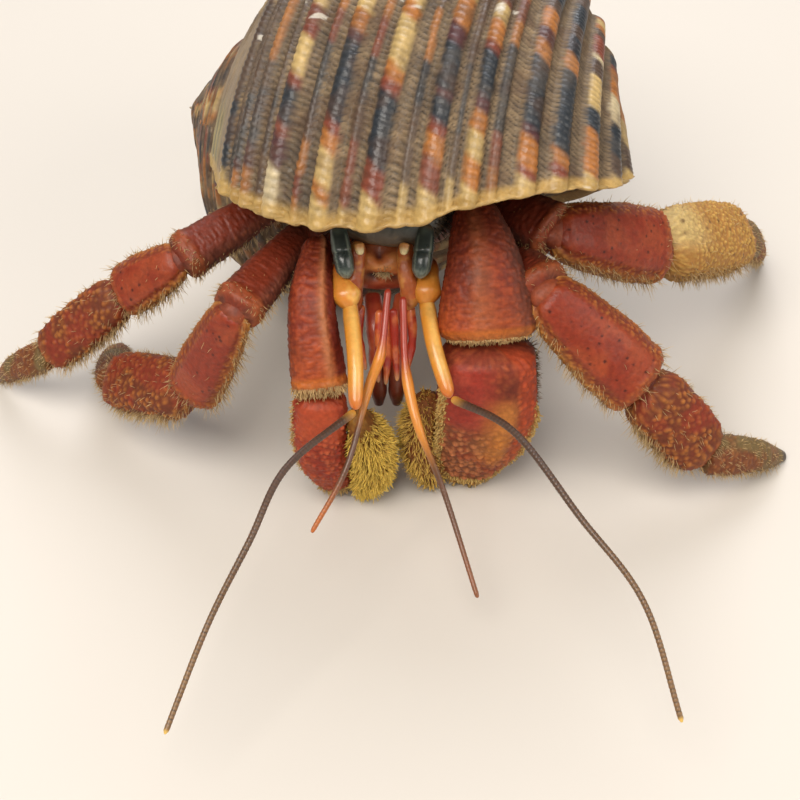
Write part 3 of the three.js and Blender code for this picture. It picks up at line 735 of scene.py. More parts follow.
eye_finish = finish_coat("wet_eye", 2600, 0.00003, 0.12, coat=0.35)
FACING = [0, -0.6, 0.8]
for side, x, lean in (("right", -4.4, 0.6), ("left", 3.7, -0.4)):
    stalk = Limb(
        [[x - lean, -34, 30.4], [x, -37.1, 28.5]],
        FACING,
        [[0, 0.75, 0.66], [0.5, 0.98, 0.84], [1, 1.04, 0.92]],
        0.08,
        2,
        0.6,
    )
    # A pale streak along the top of each stalk is a painted highlight.
    tint = painted(stalk.points, "46524b", [
        ("727c70", 0.7 * stalk.band(0.22, 0.05, 0.08)),
        ("222a28", 0.7 * mottle(stalk.points, 0.9, 91)),
    ])
    oval = stalk.from_angle(0.25)
    tint = over(tint, "2a3230", step(-oval, -0.11, -0.08) * step(stalk.share, 0.3, 0.5) * 0.8)
    tint = over(tint, "7c8678", bell(oval - 0.125, 0.02) * step(stalk.share, 0.3, 0.5) * 0.7)
    tint = over(tint, "86603c", step(-stalk.share, -0.3, 0) * 0.7)
    place_piece(f"{side}_eye_stalk_bean", f"{side}_eyestalk", stalk, tint, 0.32, eye_finish)
    cornea = Limb(
        [[x - 0.4 * lean, -35.5, 29.5], [x + 0.2 * lean, -37.4, 28.1], [x + 0.8 * lean, -38.3, 26.7]],
        FACING,
        [[0, 0.55, 0.45], [0.28, 0.92, 0.80], [0.5, 1.02, 0.91], [0.78, 0.95, 0.88], [1, 0.72, 0.72]],
        0.07,
        2,
        1.2,
    )
    tint = painted(cornea.points, "3f4b46", [("7f8a7c", step(cornea.share, 0.6, 0.95) * 0.8)])
    oval = cornea.from_angle(0.25)
    tint = over(tint, "2a3230", step(-oval, -0.11, -0.08) * step(-cornea.share, -0.85, -0.6) * 0.8)
    tint = over(tint, "7c8678", bell(oval - 0.125, 0.02) * 0.7)
    facets = pebbled(cornea.points, 0.2, 92)[0]
    tint = over(tint, "1c2423", 0.5 * step(facets, 0.35, 0.7))
    place_piece(f"{side}_eye_cornea", f"{side}_cornea", cornea, tint, 0.29, eye_finish)

# ---------------------------------------------------------------- the antennae
# Each has a knuckled stalk, a long smooth last stalk segment and a whip of some hundred short rings.
# The stalk is orange-yellow skin; the whip is brown and fades to tan, with a blunt yellow end.

wax_finish = finish_coat("waxy_skin", 2200, 0.00005, 0.07, coat=0.35, subsurface=0.25)
ANTENNAE = {
    "right": {
        "stalk": [[-5, -35.1, 26.2], [-4.2, -38.2, 25.2], [-3.7, -40.1, 24.0]],
        "last": [[-3.8, -38.6, 24.3], [-3.1, -45.5, 22.4], [-3, -50, 19.6]],
        "whip": [
            [-3.1, -50.2, 19.6], [-9.7, -58.9, 20.3], [-12.6, -65.7, 18.2], [-16.2, -71.7, 13.9],
            [-20, -80.6, 8.6],
        ],
    },
    "left": {
        "stalk": [[4.5, -34.5, 26.2], [4.2, -37.4, 25.0], [4.0, -39.3, 23.8]],
        "last": [[4, -37.6, 24.1], [4.9, -44, 22.4], [6.4, -48.3, 19.6]],
        "whip": [
            [6.6, -48.5, 19.7], [12.2, -54.5, 21.4], [18.3, -63.9, 19.3], [23.7, -71, 16], [27, -80, 9.6],
        ],
    },
}
for side, part in ANTENNAE.items():
    stalk = Limb(
        part["stalk"], FACING, [[0, 1.1, 1.0], [0.35, 1.1, 1.0], [0.72, 1.55, 1.35], [1, 1.05, 1.0]], 0.1,
        2.2, 1.0,
    )
    tint = painted(stalk.points, "cf8430", [
        ("a8501f", step(-stalk.share, -0.5, -0.1)),
        ("e8b862", step(mottle(stalk.points, 1.2, 101), 0.5, 0.8) * step(stalk.share, 0.4, 0.7)),
    ])
    name = f"{side}_antenna_stalk"
    place_piece(f"{side}_antenna_knuckle", name, stalk, tint, 0.4, wax_finish)
    last = Limb(
        part["last"], FACING, [[0, 0.72, 0.68], [0.2, 0.86, 0.8], [0.85, 0.78, 0.72], [1, 0.65, 0.65]],
        0.1, 2, 1.0,
    )
    # The pale yellow streak along the top of the last segment is a painted highlight.
    tint = painted(last.points, "d18a2c", [
        ("e6bd6c", last.band(0.3, 0.06, 0.12) * 0.9),
        ("c2601f", step(last.share, 0.72, 1.0) * 0.8),
        ("b98a45", 0.5 * step(mottle(last.points, 1.5, 102), 0.5, 0.8)),
    ])
    place_piece(
        f"{side}_antenna_rod", f"{side}_antenna_last_segment", last, tint, 0.33, wax_finish,
    )
    whip = Limb(part["whip"], FACING, [[0, 0.46, 0.46], [0.1, 0.38, 0.38], [1, 0.28, 0.28]], 0.095, 2, 1.0)
    rings = np.abs(np.sin(math.pi * whip.share * whip.length / 0.42))
    whip.raise_by(0.035 * rings - 0.035)
    tint = painted(whip.points, "4f3524", [
        ("86653c", step(whip.share, 0.25, 0.95)),
        ("33211a", 0.8 * (1 - rings) ** 2 + 0.3 * mottle(whip.points, 2, 103)),
        ("c28a35", step(-whip.share, -0.06, 0)),
        ("d9b45c", step(whip.share, 0.985, 0.995)),
    ])
    place_piece(f"{side}_ringed_whip", f"{side}_antenna_whip", whip, tint, 0.5, wax_finish)

# ---------------------------------------------------------------- the antennules
# A shorter, thinner pair between the antennae, each with an elbow, with which the crab smells. They are
# orange rods that turn brown past the elbow.

ANTENNULES = {
    "right": [
        [0.2, -38.6, 25.7], [-0.6, -44, 21.4], [-1.6, -45.7, 19.3], [-4.1, -52.9, 13.9],
        [-7.5, -57.5, 9.6],
    ],
    "left": [[1.7, -39.6, 25.5], [2, -45, 20.3], [3.2, -49.7, 17.1], [5.7, -53.4, 11.8], [9.2, -62.4, 5.3]],
}
for side, path in ANTENNULES.items():
    rod = Limb(
        path, FACING,
        [
            [0, 0.4, 0.4], [0.2, 0.4, 0.4], [0.27, 0.62, 0.6], [0.42, 0.5, 0.5], [0.52, 0.34, 0.34],
            [1, 0.26, 0.26],
        ],
        0.1, 2, 1.0,
    )
    rings = np.abs(np.sin(math.pi * rod.share * rod.length / 0.4))
    rod.raise_by(0.03 * rings * step(rod.share, 0.5, 0.6) - 0.03)
    tint = painted(rod.points, "9c3320", [
        ("cf8632", step(rod.share, 0.18, 0.3)),
        ("5f3d26", step(rod.share, 0.42, 0.6)),
        ("b5672c", step(rod.share, 0.72, 0.95) * (1.0 if side == "right" else 0.3)),
        ("5c3018", 0.5 * (1 - rings) ** 2 * step(rod.share, 0.5, 0.6)),
    ])
    place_piece(f"{side}_bent_antennule", f"{side}_antennule", rod, tint, 0.36, wax_finish)

# ---------------------------------------------------------------- the jaw legs
# The third jaw legs hang side by side over the mouth, with the thinner second pair and two feelers
# between and outside them. They are red horn, paler and orange towards the tips. The hanging third pair
# is darkened towards its ends as painted shade.

for side, x in (("right", -1.1), ("left", 1.3)):
    jaw = Limb(
        [[x * 1.4, -34.5, 21.3], [x, -38.6, 19.6], [x * 0.8, -40.4, 14.4], [x * 0.8, -39.6, 10]],
        FACING,
        [
            [0, 1, 1], [0.3, 1.05, 1.1], [0.42, 0.85, 0.9], [0.5, 1.0, 1.0], [0.7, 0.8, 0.8],
            [0.8, 0.9, 0.9], [1, 0.45, 0.5],
        ],
        0.1,
    )
    jaw.raise_by(0.08 * (mottle(jaw.points, 0.8, 111) - 0.5))
    # The lower part of each hanging jaw leg is darkened as painted shade.
    tint = painted(jaw.points, "9c3423", [
        ("c7683a", 1.2 * mottle(jaw.points, 1.5, 112) - 0.3),
        ("552016", step(jaw.share, 0.35, 0.75) * 0.85),
    ])
    place_piece(f"{side}_hanging_jaw", f"{side}_jaw_leg", jaw, tint, 0.4, wax_finish)
RODS = [
    [[-2.6, -37.6, 22.6], [-2.9, -39.6, 20.6], [-2.2, -41.2, 16.6]],
    [[-0.7, -38.4, 22.6], [-0.8, -40.4, 19.6], [-0.9, -41.6, 15.2]],
    [[0.7, -38.4, 22.8], [0.9, -40.4, 19.6], [1.1, -41.6, 15.4]],
    [[2.5, -38.0, 22.8], [2.7, -40.0, 20.2], [2.1, -41.4, 16.4]],
    [[0.1, -38.0, 21.8], [0.1, -40.9, 18.2], [-0.1, -41.5, 14.8]],
]
for n, path in enumerate(RODS):
    rod = Limb(
        path, FACING,
        [[0, 0.45, 0.4], [0.3, 0.52, 0.46], [0.5, 0.4, 0.4], [0.6, 0.48, 0.42], [1, 0.2, 0.2]], 0.09, 2,
        1.0,
    )
    tint = painted(rod.points, "a8301f", [
        ("d0703c", step(mottle(rod.points, 1, 115 + n), 0.4, 0.7)),
        ("dfc08a", step(rod.share, 0.8, 1) * 0.5),
    ])
    add_piece(f"mouth_rod_{n + 1}", rod, tint, 0.35, wax_finish)

# ---------------------------------------------------------------- the claws
# Two claws of four pieces each, thick limy skin with soft orange joints between them. The left one is
# far larger. Their outer faces are grained with tubercles and edged with tan beads, and the inner
# fingers are brushes of stiff bristles.


def grained(limb, size, height, seed, where=1.0):
    """Raises rounded grains on a limb and returns how far up a grain each point is."""
    far, kind = pebbled(limb.points, size, seed)
    bump = np.clip(1 - (far / 0.55) ** 2, 0, 1) * (0.5 + 0.5 * kind)
    limb.raise_by(height * bump * where)
    return bump


def scaled(limb, along, about, height, seed):
    """Raises low overlapping wrinkles across a limb and returns how far up one each point is."""
    girth = np.linalg.norm(np.roll(limb.points, -1, axis=1) - limb.points, axis=-1).sum(axis=1).max()
    flat = np.stack([limb.share * limb.length / along, limb.angle * girth / about, 0 * limb.share], axis=-1)
    far, kind = pebbled(flat + 0.25 * (mottle(limb.points, 2, seed)[..., None] - 0.5), 1.0, seed)
    bump = np.clip(1 - (far / 0.75) ** 2, 0, 1) * (0.5 + 0.5 * kind)
    limb.raise_by(height * bump)
    return bump


def hairs(
    name, limb, wanted, count, lengths, thick, lean, root_paint, tip_paint, seed, droop=0.1,
    spread=0.35,
):
    """Stiff tapering hairs rooted in a limb, thickest where wanted says, as one mesh."""
    pick = np.random.default_rng(seed)
    weight = np.clip(wanted, 0, 1) * np.linalg.norm(np.roll(limb.points, -1, axis=1) - limb.points, axis=-1)
    weight[[0, -1]] = 0
    spots = pick.choice(weight.size, count, p=(weight / weight.sum()).ravel())
    row, col = np.unravel_index(spots, weight.shape)
    nearby = limb.points[row, (col + 1) % weight.shape[1]]
    root = limb.points[row, col] + (nearby - limb.points[row, col]) * pick.random((count, 1))
    out, tangent = limb.out[row, col], limb.tangent[row, col]
    aim = unit(out + tangent * lean + pick.normal(0, spread, (count, 3)) + np.array([0, 0, -droop]))
    long = pick.uniform(*lengths, (count, 1)) * (0.6 + 0.4 * np.clip(wanted, 0, 1)[row, col][:, None])
    curl = pick.normal(0, 0.18, (count, 3)) + np.array([0, 0, -0.12])
    a = unit(np.cross(aim, pick.normal(0, 1, (count, 3))))
    b = np.cross(aim, a)
    rise = np.array([0, 0.35, 0.7, 1])
    slim = np.array([1, 0.86, 0.6, 0.15])
    bend = aim[:, None] * rise[:, None] + curl[:, None] * rise[:, None] ** 2
    middle = root[:, None] - out[:, None] * 0.1 + long[:, None] * bend
    turn = math.tau * np.arange(3) / 3
    ring = a[:, None, None] * np.cos(turn)[:, None] + b[:, None, None] * np.sin(turn)[:, None]
    points = middle[:, :, None] + ring * (thick * slim)[:, None, None]
    base = np.arange(count)[:, None, None] * 12
    level, side = np.meshgrid(np.arange(3), np.arange(3), indexing="ij")
    level, side = level.ravel(), side.ravel()
    nxt = (side + 1) % 3
    quads = np.stack([level * 3 + side, level * 3 + nxt, level * 3 + 3 + nxt, level * 3 + 3 + side], axis=-1)
    u = np.stack([side, side + 1, side + 1, side], axis=-1) / 3
    v = np.stack([level, level, level + 1, level + 1], axis=-1) / 3
    caps = np.array([[2, 1, 0], [9, 10, 11]])
    faces = (quads + base).reshape(-1, 4).tolist() + (caps + base).reshape(-1, 3).tolist()
    home = np.stack([limb.share[row, col] * 0.99, limb.angle[row, col] * 0.99], axis=-1)
    patch = 0.003  # side of each hair's own spot on the bake sheet
    cap_corners = np.array([[[0, 0], [1, 0], [0.5, 0.4]], [[0, 0.7], [1, 0.7], [0.5, 1]]])
    quad_uv = home[:, None, None] + patch * np.stack([u, v], axis=-1)[None]
    cap_uv = home[:, None, None] + patch * cap_corners[None]
    mesh = bpy.data.meshes.new(name)
    mesh.from_pydata(in_metres(points).reshape(-1, 3), [], faces)
    mesh.shade_smooth()
    tips = np.array([0.0, 0.35, 0.75, 1.0])[None, :, None]
    tone = pick.uniform(0.75, 1.2, (count, 1, 1, 1))
    fade = tips[..., None] * np.ones((count, 1, 3, 1))
    tint = colour(root_paint) + (colour(tip_paint) - colour(root_paint)) * fade
    rgba = np.concatenate([np.clip(tint * tone, 0, 1), np.full((count, 4, 3, 1), 0.55)], axis=-1)
    layer = mesh.color_attributes.new("Paint", "FLOAT_COLOR", "POINT")
    layer.data.foreach_set("color", rgba.astype(np.float32).ravel())
    flat_uv = np.concatenate([quad_uv.reshape(-1, 2), cap_uv.reshape(-1, 2)])
    mesh.uv_layers.new(name="OFBake").data.foreach_set("uv", flat_uv.astype(np.float32).ravel())
    mesh.materials.append(bristle_finish)
    coat = bpy.data.objects.new(name, mesh)
    bpy.context.collection.objects.link(coat)
    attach(coat, "root")
    return coat


bristle_finish = finish_coat("stiff_bristle", 3000, 0.00002, 0.10)
claw_finish = finish_coat("limy_claw", 2100, 0.00018, 0.20, coat=0.05, subsurface=0.04, gleam=0.3)

# Upper arm pieces, mostly under the shell's lip and the shield.
MERUS = {
    "left": ([[7, -24, 25], [9.2, -29.6, 28.6]], [[0, 2.6, 2.6], [0.7, 3.2, 3], [1, 2.6, 2.4]]),
    "right": ([[-5.6, -24, 24.4], [-6.8, -32, 27]], [[0, 1.8, 2], [0.6, 2, 2.2], [1, 1.5, 1.6]]),
}
for side, (path, profile) in MERUS.items():
    limb = Limb(path, FACING, profile, 0.2)
    bump = scaled(limb, 0.7, 1.4, 0.12, 120)
    tint = painted(limb.points, "6b2c22", [
        ("8f4030", bump),
        ("4a2420", mottle(limb.points, 2.5, 121) - 0.2),
    ])
    place_piece(f"{side}_claw_upper_arm", f"{side}_claw_merus", limb, tint, 0.5, claw_finish)

# Wrists: red, wrinkled across, purple-brown on the outer side, with a beaded tan edge at the hand.
CARPUS = {
    "left": (
        [[8.9, -31, 30.8], [9.9, -36.6, 27.4], [10.5, -41.4, 21.2]],
        [[0, 1.8, 2], [0.3, 3.2, 3.2], [0.65, 4.5, 3.9], [0.9, 5.2, 4], [1, 4.8, 3.4]],
        0.5,
    ),
    "right": (
        [[-7, -33, 27.6], [-7.6, -39.4, 24], [-6.8, -44.6, 17]],
        [[0, 1.3, 1.4], [0.4, 2.3, 2.3], [0.85, 2.8, 2.6], [1, 2.6, 2.2]],
        0.0,
    ),
}
wrists = {}
for side, (path, profile, outer) in CARPUS.items():
    limb = Limb(path, FACING, profile, 0.13, 2.6, 0.35)
    inner = 0.5 - outer
    keel = bell(limb.from_angle(0.25 + (0.06 if side == "right" else -0.02)), 0.03)
    limb.raise_by((0.30 if side == "right" else 0.1) * keel * step(-limb.share, -0.9, -0.7))
    rim = step(limb.share, 0.92, 0.965) * step(-limb.share, -0.999, -0.985)
    limb.raise_by(0.28 * rim)
    bump = scaled(limb, 0.38, 0.85, 0.15, 123)
    beads = grained(limb, 0.55, 0.16, 124, step(limb.share, 0.90, 0.93) + 0.4 * limb.band(outer, 0.1))
    tint = painted(limb.points, "7a2d20", [
        ("ad5034", 0.95 * bump),
        ("5e261d", 1.7 * (mottle(limb.points, 2.2, 125) - 0.40)),
        ("b3582f", step(limb.share, 0.55, 0.93) * (0.35 + 0.4 * bump)),
        ("523230", limb.band(outer, 0.16 if side == "left" else 0.06, 0.08) * (0.62 + 0.30 * (1 - bump))),
    ])
    if side == "right":
        tint = over(tint, "611c16", limb.band(0.46, 0.11, 0.03) * 0.9)
    tint = over(tint, "b87a60", (0.8 if side == "right" else 0.3) * keel)
    tint = over(tint, "b98a58", rim * (0.35 + 0.65 * beads))
    tint = over(tint, "cf7a2e", step(limb.share, 0.88, 0.92) * step(-limb.share, -0.96, -0.92) * 0.55)
    rough = 0.48 + 0.25 * mottle(limb.points, 1.2, 126)
    place_piece(f"{side}_claw_wrist", f"{side}_claw_carpus", limb, tint, rough, claw_finish)
    wrists[side] = limb

# The big hand: a smooth red patch by the wrist, an orange fold down its outer side, and a grained
# pinkish lower half inside a thick beaded edge.
big_hand = Limb(
    [[10.5, -41.6, 21.0], [10.4, -42.4, 12], [8.3, -40.6, 0.2]],
    [0, -1, 0.15],
    [[0, 4.7, 3.2], [0.14, 5, 3.6], [0.4, 5.3, 3.8], [0.65, 4.6, 3.4], [0.85, 3.2, 2.6], [1, 1.9, 1.8]],
    0.12,
    3.0,
    0.45,
)
s, a = big_hand.share, big_hand.angle
fold_at = 0.300 - 0.04 * s + 0.03 * (mottle(big_hand.points, 3, 131) - 0.5)
by_fold = step(-np.abs(a - fold_at), -0.05, -0.01) * step(s, 0.2, 0.3) * step(-s, -0.75, -0.55)
fold = bell(a - fold_at, 0.030) * step(s, 0.05, 0.15) * step(-s, -0.72, -0.5)
patch = step(-s, -0.44, -0.34) * step(a, 0.10, 0.13) * step(-a, -0.275, -0.235) * step(s, 0.03, 0.08)
edge_in = bell(a - 0.088, 0.020) * step(s, 0.06, 0.12)
edge_out = bell(a - 0.470, 0.025) * step(s, 0.30, 0.45)
tip_edge = step(s, 0.90, 0.96)
edges = np.clip(edge_in + edge_out + tip_edge, 0, 1)
lower = step(s, 0.34, 0.50) * step(a, 0.08, 0.12) * step(-a, -0.46, -0.42)
facet = step(a, 0.31, 0.35) * step(-a, -0.50, -0.46) * step(-s, -0.72, -0.55)
big_hand.raise_by(0.35 * edges + 0.30 * fold - 0.15 * facet - 0.12 * lower + 0.10 * patch)
grainy = np.clip(edges + 0.8 * lower + 0.45 * facet + 0.25 * (1 - patch), 0, 1) * (1 - 0.92 * patch)
beads = grained(big_hand, 0.74, 0.34, 132, grainy)
tint = painted(big_hand.points, "7d3426", [
    ("ad5a3c", 0.9 * beads),
    ("96624a", lower * 0.92),
    ("c07a5e", lower * beads * 1.1),
    ("6e3526", lower * step(-beads, -0.12, 0) * 0.6),
    ("8c3628", lower * step(mottle(big_hand.points, 1.1, 133), 0.52, 0.66) * 0.55),
    ("b0492f", facet * (0.5 + 0.4 * beads)),
    ("93302a", patch * 0.95),
    ("ab4840", patch * step(mottle(big_hand.points, 2.4, 134), 0.45, 0.7) * 0.6),
    ("c08448", fold * step(s, 0.18, 0.32) * 0.85),
    ("5a241c", fold * step(-s, -0.26, -0.16) * 0.7),
    ("b87442", by_fold * 0.5),
    ("c9a05e", edges * (0.55 + 0.45 * beads)),
    ("d8b56a", tip_edge * beads * 0.7),
])
hidden = big_hand.band(0.75, 0.2, 0.05)
tint = over(tint, "6b3428", hidden * 0.8)
rough = 0.66 - 0.24 * patch + 0.12 * mottle(big_hand.points, 1, 135)
place_piece("left_claw_hand", "left_claw_palm", big_hand, tint, rough, claw_finish)

# The small hand: grained red, flushed at the wrist, with a beaded outer edge.
small_hand = Limb(
    [[-6.75, -44.7, 16.9], [-7, -44.8, 9], [-5.2, -42.4, 0.2]],
    [0, -1, 0.15],
    [[0, 2.5, 2.1], [0.2, 2.8, 2.4], [0.6, 2.6, 2.4], [0.9, 1.7, 1.6], [1, 1.1, 1.1]],
    0.11,
    2.6,
    0.6,
)
s, a = small_hand.share, small_hand.angle
edges = np.clip(small_hand.band(0.02, 0.03, 0.03) * step(s, 0.2, 0.4) + step(s, 0.9, 0.96), 0, 1)
flush = step(-s, -0.34, -0.2) * small_hand.band(0.24, 0.14, 0.05)
beads = grained(small_hand, 0.6, 0.3, 142, 1 - 0.85 * flush)
tint = painted(small_hand.points, "9a3f2d", [
    ("c0654a", 0.9 * beads),
    ("8a2a20", step(mottle(small_hand.points, 1.2, 143), 0.5, 0.66) * 0.7),
    ("ad4a30", flush * 0.8),
    ("c98a55", edges * (0.4 + 0.6 * beads)),
    ("6b3428", small_hand.band(0.75, 0.16, 0.05) * 0.7),
])
place_piece("right_claw_hand", "right_claw_palm", small_hand, tint, 0.55, claw_finish)

# The moving fingers, each a red-brown core under a brush of bristles.
FINGERS = {
    "left": (
        [[4.6, -41.5, 13.5], [3.5, -42.6, 8], [5.4, -41.6, 0.2]],
        [[0, 1.2, 1.6], [0.25, 1.9, 2.5], [0.7, 1.7, 2.3], [1, 0.8, 1.2]],
    ),
    "right": (
        [[-3.2, -45, 14.2], [-1.6, -44.8, 8], [-2.6, -43, 0.2]],
        [[0, 1.1, 1.4], [0.3, 2, 2.1], [0.7, 1.9, 2], [1, 0.8, 1]],
    ),
}
fingers = {}
for side, (path, profile) in FINGERS.items():
    limb = Limb(path, [0, -1, 0.15], profile, 0.12, 2.3, 0.8)
    beads = grained(limb, 0.6, 0.2, 151)
    tint = painted(limb.points, "6f3422", [
        ("a07434", 0.8 * beads),
        ("8a6a30", mottle(limb.points, 1.4, 152) * (0.9 if side == "right" else 0.4)),
    ])
    place_piece(
        f"{side}_claw_brush_core", f"{side}_claw_finger", limb, tint, 0.7, claw_finish,
    )
    fingers[side] = limb

# Bristles of the claws.
brush = fingers["right"]
wanted = step(brush.share, 0.05, 0.2) * (0.3 + 0.7 * brush.band(0.40, 0.30, 0.1))
hairs("right_claw_brush", brush, wanted,
      3600, (0.55, 1.2), 0.10, 0.45, "7d4d16", "f6d25e", 161)
brush = fingers["left"]
wanted = 0.25 + 0.75 * brush.band(0.08, 0.2, 0.1)
hairs("left_claw_brush", brush, wanted,
      1500, (0.5, 1.2), 0.07, 0.3, "6b3a1a", "eec65c", 162)
wanted = np.clip(edge_in * 0.9 + 0.9 * (big_hand.share > 0.88) + edge_out * 0.8, 0, 1)
hairs("left_claw_beaded_edge", big_hand, wanted,
      2000, (0.3, 0.62), 0.14, 0.35, "94662f", "d3b268", 163, spread=0.3)
wanted = big_hand.band(0.56, 0.035, 0.03) * (big_hand.share < 0.75)
hairs("left_claw_outer_hair", big_hand, wanted,
      700, (0.5, 1.1), 0.05, 0.3, "33241a", "8a6a44", 164)
wanted = small_hand.band(0.0, 0.07, 0.05) * 0.6 + (small_hand.share > 0.85) * 0.9
hairs("right_claw_edge_hair", small_hand, wanted,
      800, (0.3, 0.7), 0.08, 0.35, "8f6233", "d0b070", 165)
for side, count, lengths in (("left", 750, (0.15, 0.4)), ("right", 420, (0.35, 0.8))):
    limb = wrists[side]
    wanted = (limb.share > 0.94) * (limb.share < 0.985) * limb.band(0.25, 0.26, 0.04)
    hairs(f"{side}_claw_wrist_fringe", limb, wanted,
          count, lengths, 0.075, 1.2, "8f6238", "d0b078", 166, spread=0.3)

# Dark hairs down the sides of the shield, and a pale tuft on the face over the mouth.
wanted = (shield.band(0.0, 0.07) + shield.band(0.5, 0.07)) * (shield.share < 0.75)
hairs("shield_side_hair", shield, wanted,
      700, (0.6, 1.5), 0.05, -0.2, "241c17", "6e5a42", 168, droop=0.3)
hairs("face_tuft", face, tuft_place,
      170, (0.5, 0.95), 0.05, 0.2, "6b4a2a", "d9bd8c", 167, droop=0.4, spread=0.5)

# ---------------------------------------------------------------- the walking legs
# Two legs on each side, each an upper arm, a smooth red knee piece, a grained shin and a hooked toe,
# hard skin with soft orange joints. Long yellow hairs stand along their edges.

leg_finish = finish_coat("leg_skin", 2000, 0.00018, 0.20, coat=0.06, subsurface=0.04, gleam=0.3)
LEGS = {
    "right_second": (
        [[-7.4, -26.9, 25.6], [-15.3, -41.8, 25.4], [-20.8, -40.2, 12.6], [-31, -32, 6.2], [-32.6, -19.6, 0]],
        [2.5, 2.7, 3.3, 1.9],
    ),
    "right_third": (
        [
            [-8.6, -20.8, 26], [-22.1, -30.4, 22.6], [-28.8, -29.4, 17.2], [-38.4, -30.4, 8.6],
            [-46.5, -25.5, 0],
        ],
        [2.5, 2.6, 2.7, 1.6],
    ),
    "left_second": (
        [[10.4, -27.4, 22.4], [15.9, -39.6, 26], [26.6, -42.2, 15.6], [34.4, -43.6, 6.2], [45, -38, 0]],
        [3.1, 3.7, 3.5, 2],
    ),
    "left_third": (
        [[10.6, -26.4, 27.8], [17.4, -32, 27.6], [29.6, -25.8, 20.6], [41.8, -12.4, 11.2], [47.6, -3, 0]],
        [3, 3.8, 4.2, 2.2],
    ),
}
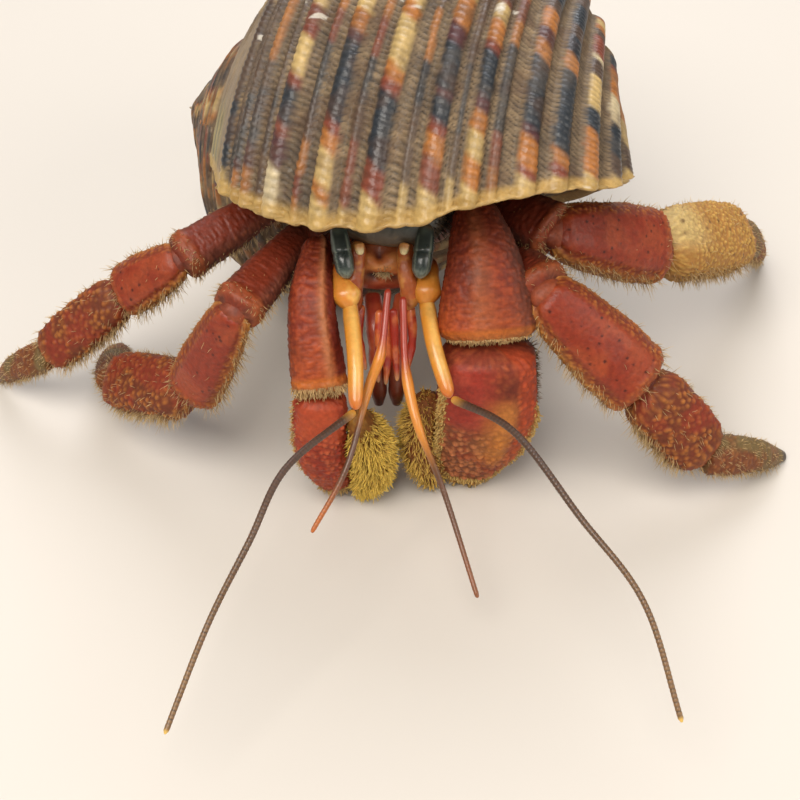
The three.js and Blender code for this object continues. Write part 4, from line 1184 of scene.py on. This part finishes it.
for order, (leg, (joints, half)) in enumerate(LEGS.items()):
    low = 0.5 if leg.startswith("right") else 0.0
    sandy_sunlit = leg == "left_third"
    for i, segment in enumerate(["merus", "carpus", "propodus", "dactyl"]):
        width, toe = half[i], i == 3
        swell = {
            "merus": [0.52, 0.66, 0.94, 1.0, 0.84],
            "carpus": [0.60, 0.84, 1.04, 1.0, 0.82],
            "propodus": [0.74, 0.98, 1.02, 0.90, 0.70],
            "dactyl": [1.02, 1.12, 0.84, 0.42, 0.5 / width],
        }[segment]
        places = [0, 0.22, 0.65, 0.9, 1]
        profile = [[at, wide * width, 0.75 * wide * width] for at, wide in zip(places, swell)]
        begin, finish_at = np.array(joints[i], float), np.array(joints[i + 1], float)
        along = unit(finish_at - begin)
        reach = 0 if toe else 0.3
        way = [begin - 0.3 * along, finish_at + reach * along]
        if toe:
            way.insert(1, 0.55 * begin + 0.45 * finish_at + 0.9 * unit(np.array(FACING)))
        limb = Limb(way, FACING, profile, 0.145, 2.4 if toe else 2.8, 0.8 if segment == "propodus" else 0.4)
        seed = 200 + 20 * order + 4 * i
        edge = np.clip(limb.band(low, 0.045, 0.03) + limb.band(0.5 - low, 0.035, 0.03), 0, 1)
        end_rim = step(limb.share, 0.86, 0.91) * step(-limb.share, -0.985, -0.95) * (0 if toe else 1)
        broad = mottle(limb.points, 2.6, seed)
        if segment == "merus":
            face = limb.band(0.22, 0.10, 0.05) * step(limb.share, 0.2, 0.4)
            bump = scaled(limb, 0.42, 0.8, 0.15, seed) * (1 - 0.8 * face)
            limb.raise_by(0.2 * end_rim)
            tint = painted(limb.points, "602f2a", [
                ("925344", 0.8 * bump),
                ("4b2623", 1.2 * (broad - 0.4)),
                ("7e3326", face * 0.8),
            ])
            rough = 0.66 - 0.18 * face
        elif segment == "carpus":
            face = limb.band(0.22 if low == 0 else 0.28, 0.115, 0.03) * step(-limb.share, -0.93, -0.84)
            limb.raise_by(0.10 * face + 0.30 * edge + 0.16 * end_rim)
            bump = grained(limb, 0.5, 0.18, seed, np.clip(edge + end_rim + 0.8 * (1 - face), 0, 1))
            tint = painted(limb.points, "7a3423", [
                ("b8763f", 0.9 * bump),
                ("873224", face * 0.95),
                ("9c4a33", face * step(broad, 0.42, 0.66) * 0.7),
            ])
            dots = pebbled(limb.points, 1.0, seed + 1)[0]
            tint = over(tint, "3d1512", face * step(-dots, -0.22, -0.12) * 0.9)
            tint = over(tint, "c29258", edge * (0.35 + 0.65 * bump))
            rough = 0.6 - 0.18 * face
        elif segment == "propodus":
            face = limb.band(0.25, 0.2, 0.06)
            bump = grained(limb, 0.5 if sandy_sunlit else 0.64, 0.26, seed)
            tint = painted(limb.points, "6b3423", [
                ("b5763f", 0.95 * bump),
                ("8a2f24", face * step(broad, 0.42, 0.62) * 0.6),
                ("bd8f58", (edge * 0.7 + 0.5 * end_rim) * bump),
            ])
            # This shin's pale paint is partly its own sandy granules and partly painted sunlight on its top
            # side.
            if sandy_sunlit:
                tint = over(tint, "a97f4c", 0.9 + 0 * bump)
                tint = over(tint, "cdb073", bump * (0.75 + 0.25 * face))
                tint = over(
                    tint, "cfc4a4", step(-limb.share, -0.45, -0.15) * limb.band(0.33, 0.12, 0.06) * 0.6,
                )
                pits = pebbled(limb.points, 1.6, seed + 2)[0]
                tint = over(tint, "5c4434", step(-pits, -0.22, -0.10) * 0.8)
            rough = 0.68
        else:
            bump = grained(limb, 0.5, 0.16, seed, step(-limb.share, -0.85, -0.6))
            tint = painted(limb.points, "6d3d28", [
                ("a06a44", 0.8 * bump),
                ("6f6a50", 0.7 * step(broad, 0.45, 0.7)),
                ("2c1c16", step(limb.share, 0.86, 0.95)),
            ])
            rough = 0.6 - 0.25 * step(limb.share, 0.86, 0.95)
        tint = over(tint, "a85c36", end_rim * (0.35 + 0.4 * bump))
        name = f"{leg}_leg_{segment}"
        piece_name = f"{leg}_{['upper_arm', 'knee', 'shin', 'toe'][i]}"
        place_piece(piece_name, name, limb, tint, rough, leg_finish)
        # Long hairs along both edges, short ones all over the shin and toe.
        number = [330, 380, 700, 600][i]
        all_over = [0.03, 0.01, 0.04, 0.25][i]
        long = [(0.4, 1.1), (0.4, 1.6), (0.45, 1.5), (0.4, 1.0)][i]
        edges = limb.band(low, 0.06, 0.04) + 0.4 * limb.band(0.5 - low, 0.05, 0.04)
        wanted = np.clip(edges + 0.8 * end_rim, 0, 1)
        wanted = np.clip(wanted + all_over, 0, 1) * (limb.share < (0.88 if toe else 0.97))
        hairs(f"{piece_name}_hair", limb, wanted, number, long, 0.04, 0.5,
              "80592f", "d8bb84", seed + 3, droop=0.25)
    # The soft skin that shows in the joints.
    for i in (1, 2, 3):
        before, here, after = (np.array(joints[n], float) for n in (i - 1, i, i + 1))
        size = 0.56 * min(half[i - 1], half[i])
        path = [here + unit(before - here) * 0.9 * size, here, here + unit(after - here) * 0.9 * size]
        girths = [[0, size, 0.7 * size], [0.5, 1.05 * size, 0.75 * size], [1, size, 0.7 * size]]
        skin = Limb(path, FACING, girths, 0.2)
        skin.raise_by(0.10 * np.sin(math.tau * skin.share * 4) - 0.05)
        grained(skin, 0.5, 0.12, 310 + i)
        tint = painted(skin.points, "96492a", [("552018", 1.4 * mottle(skin.points, 1.2, 300 + i) - 0.2)])
        add_piece(f"{leg}_joint_{i}", skin, tint, 0.55, leg_finish)
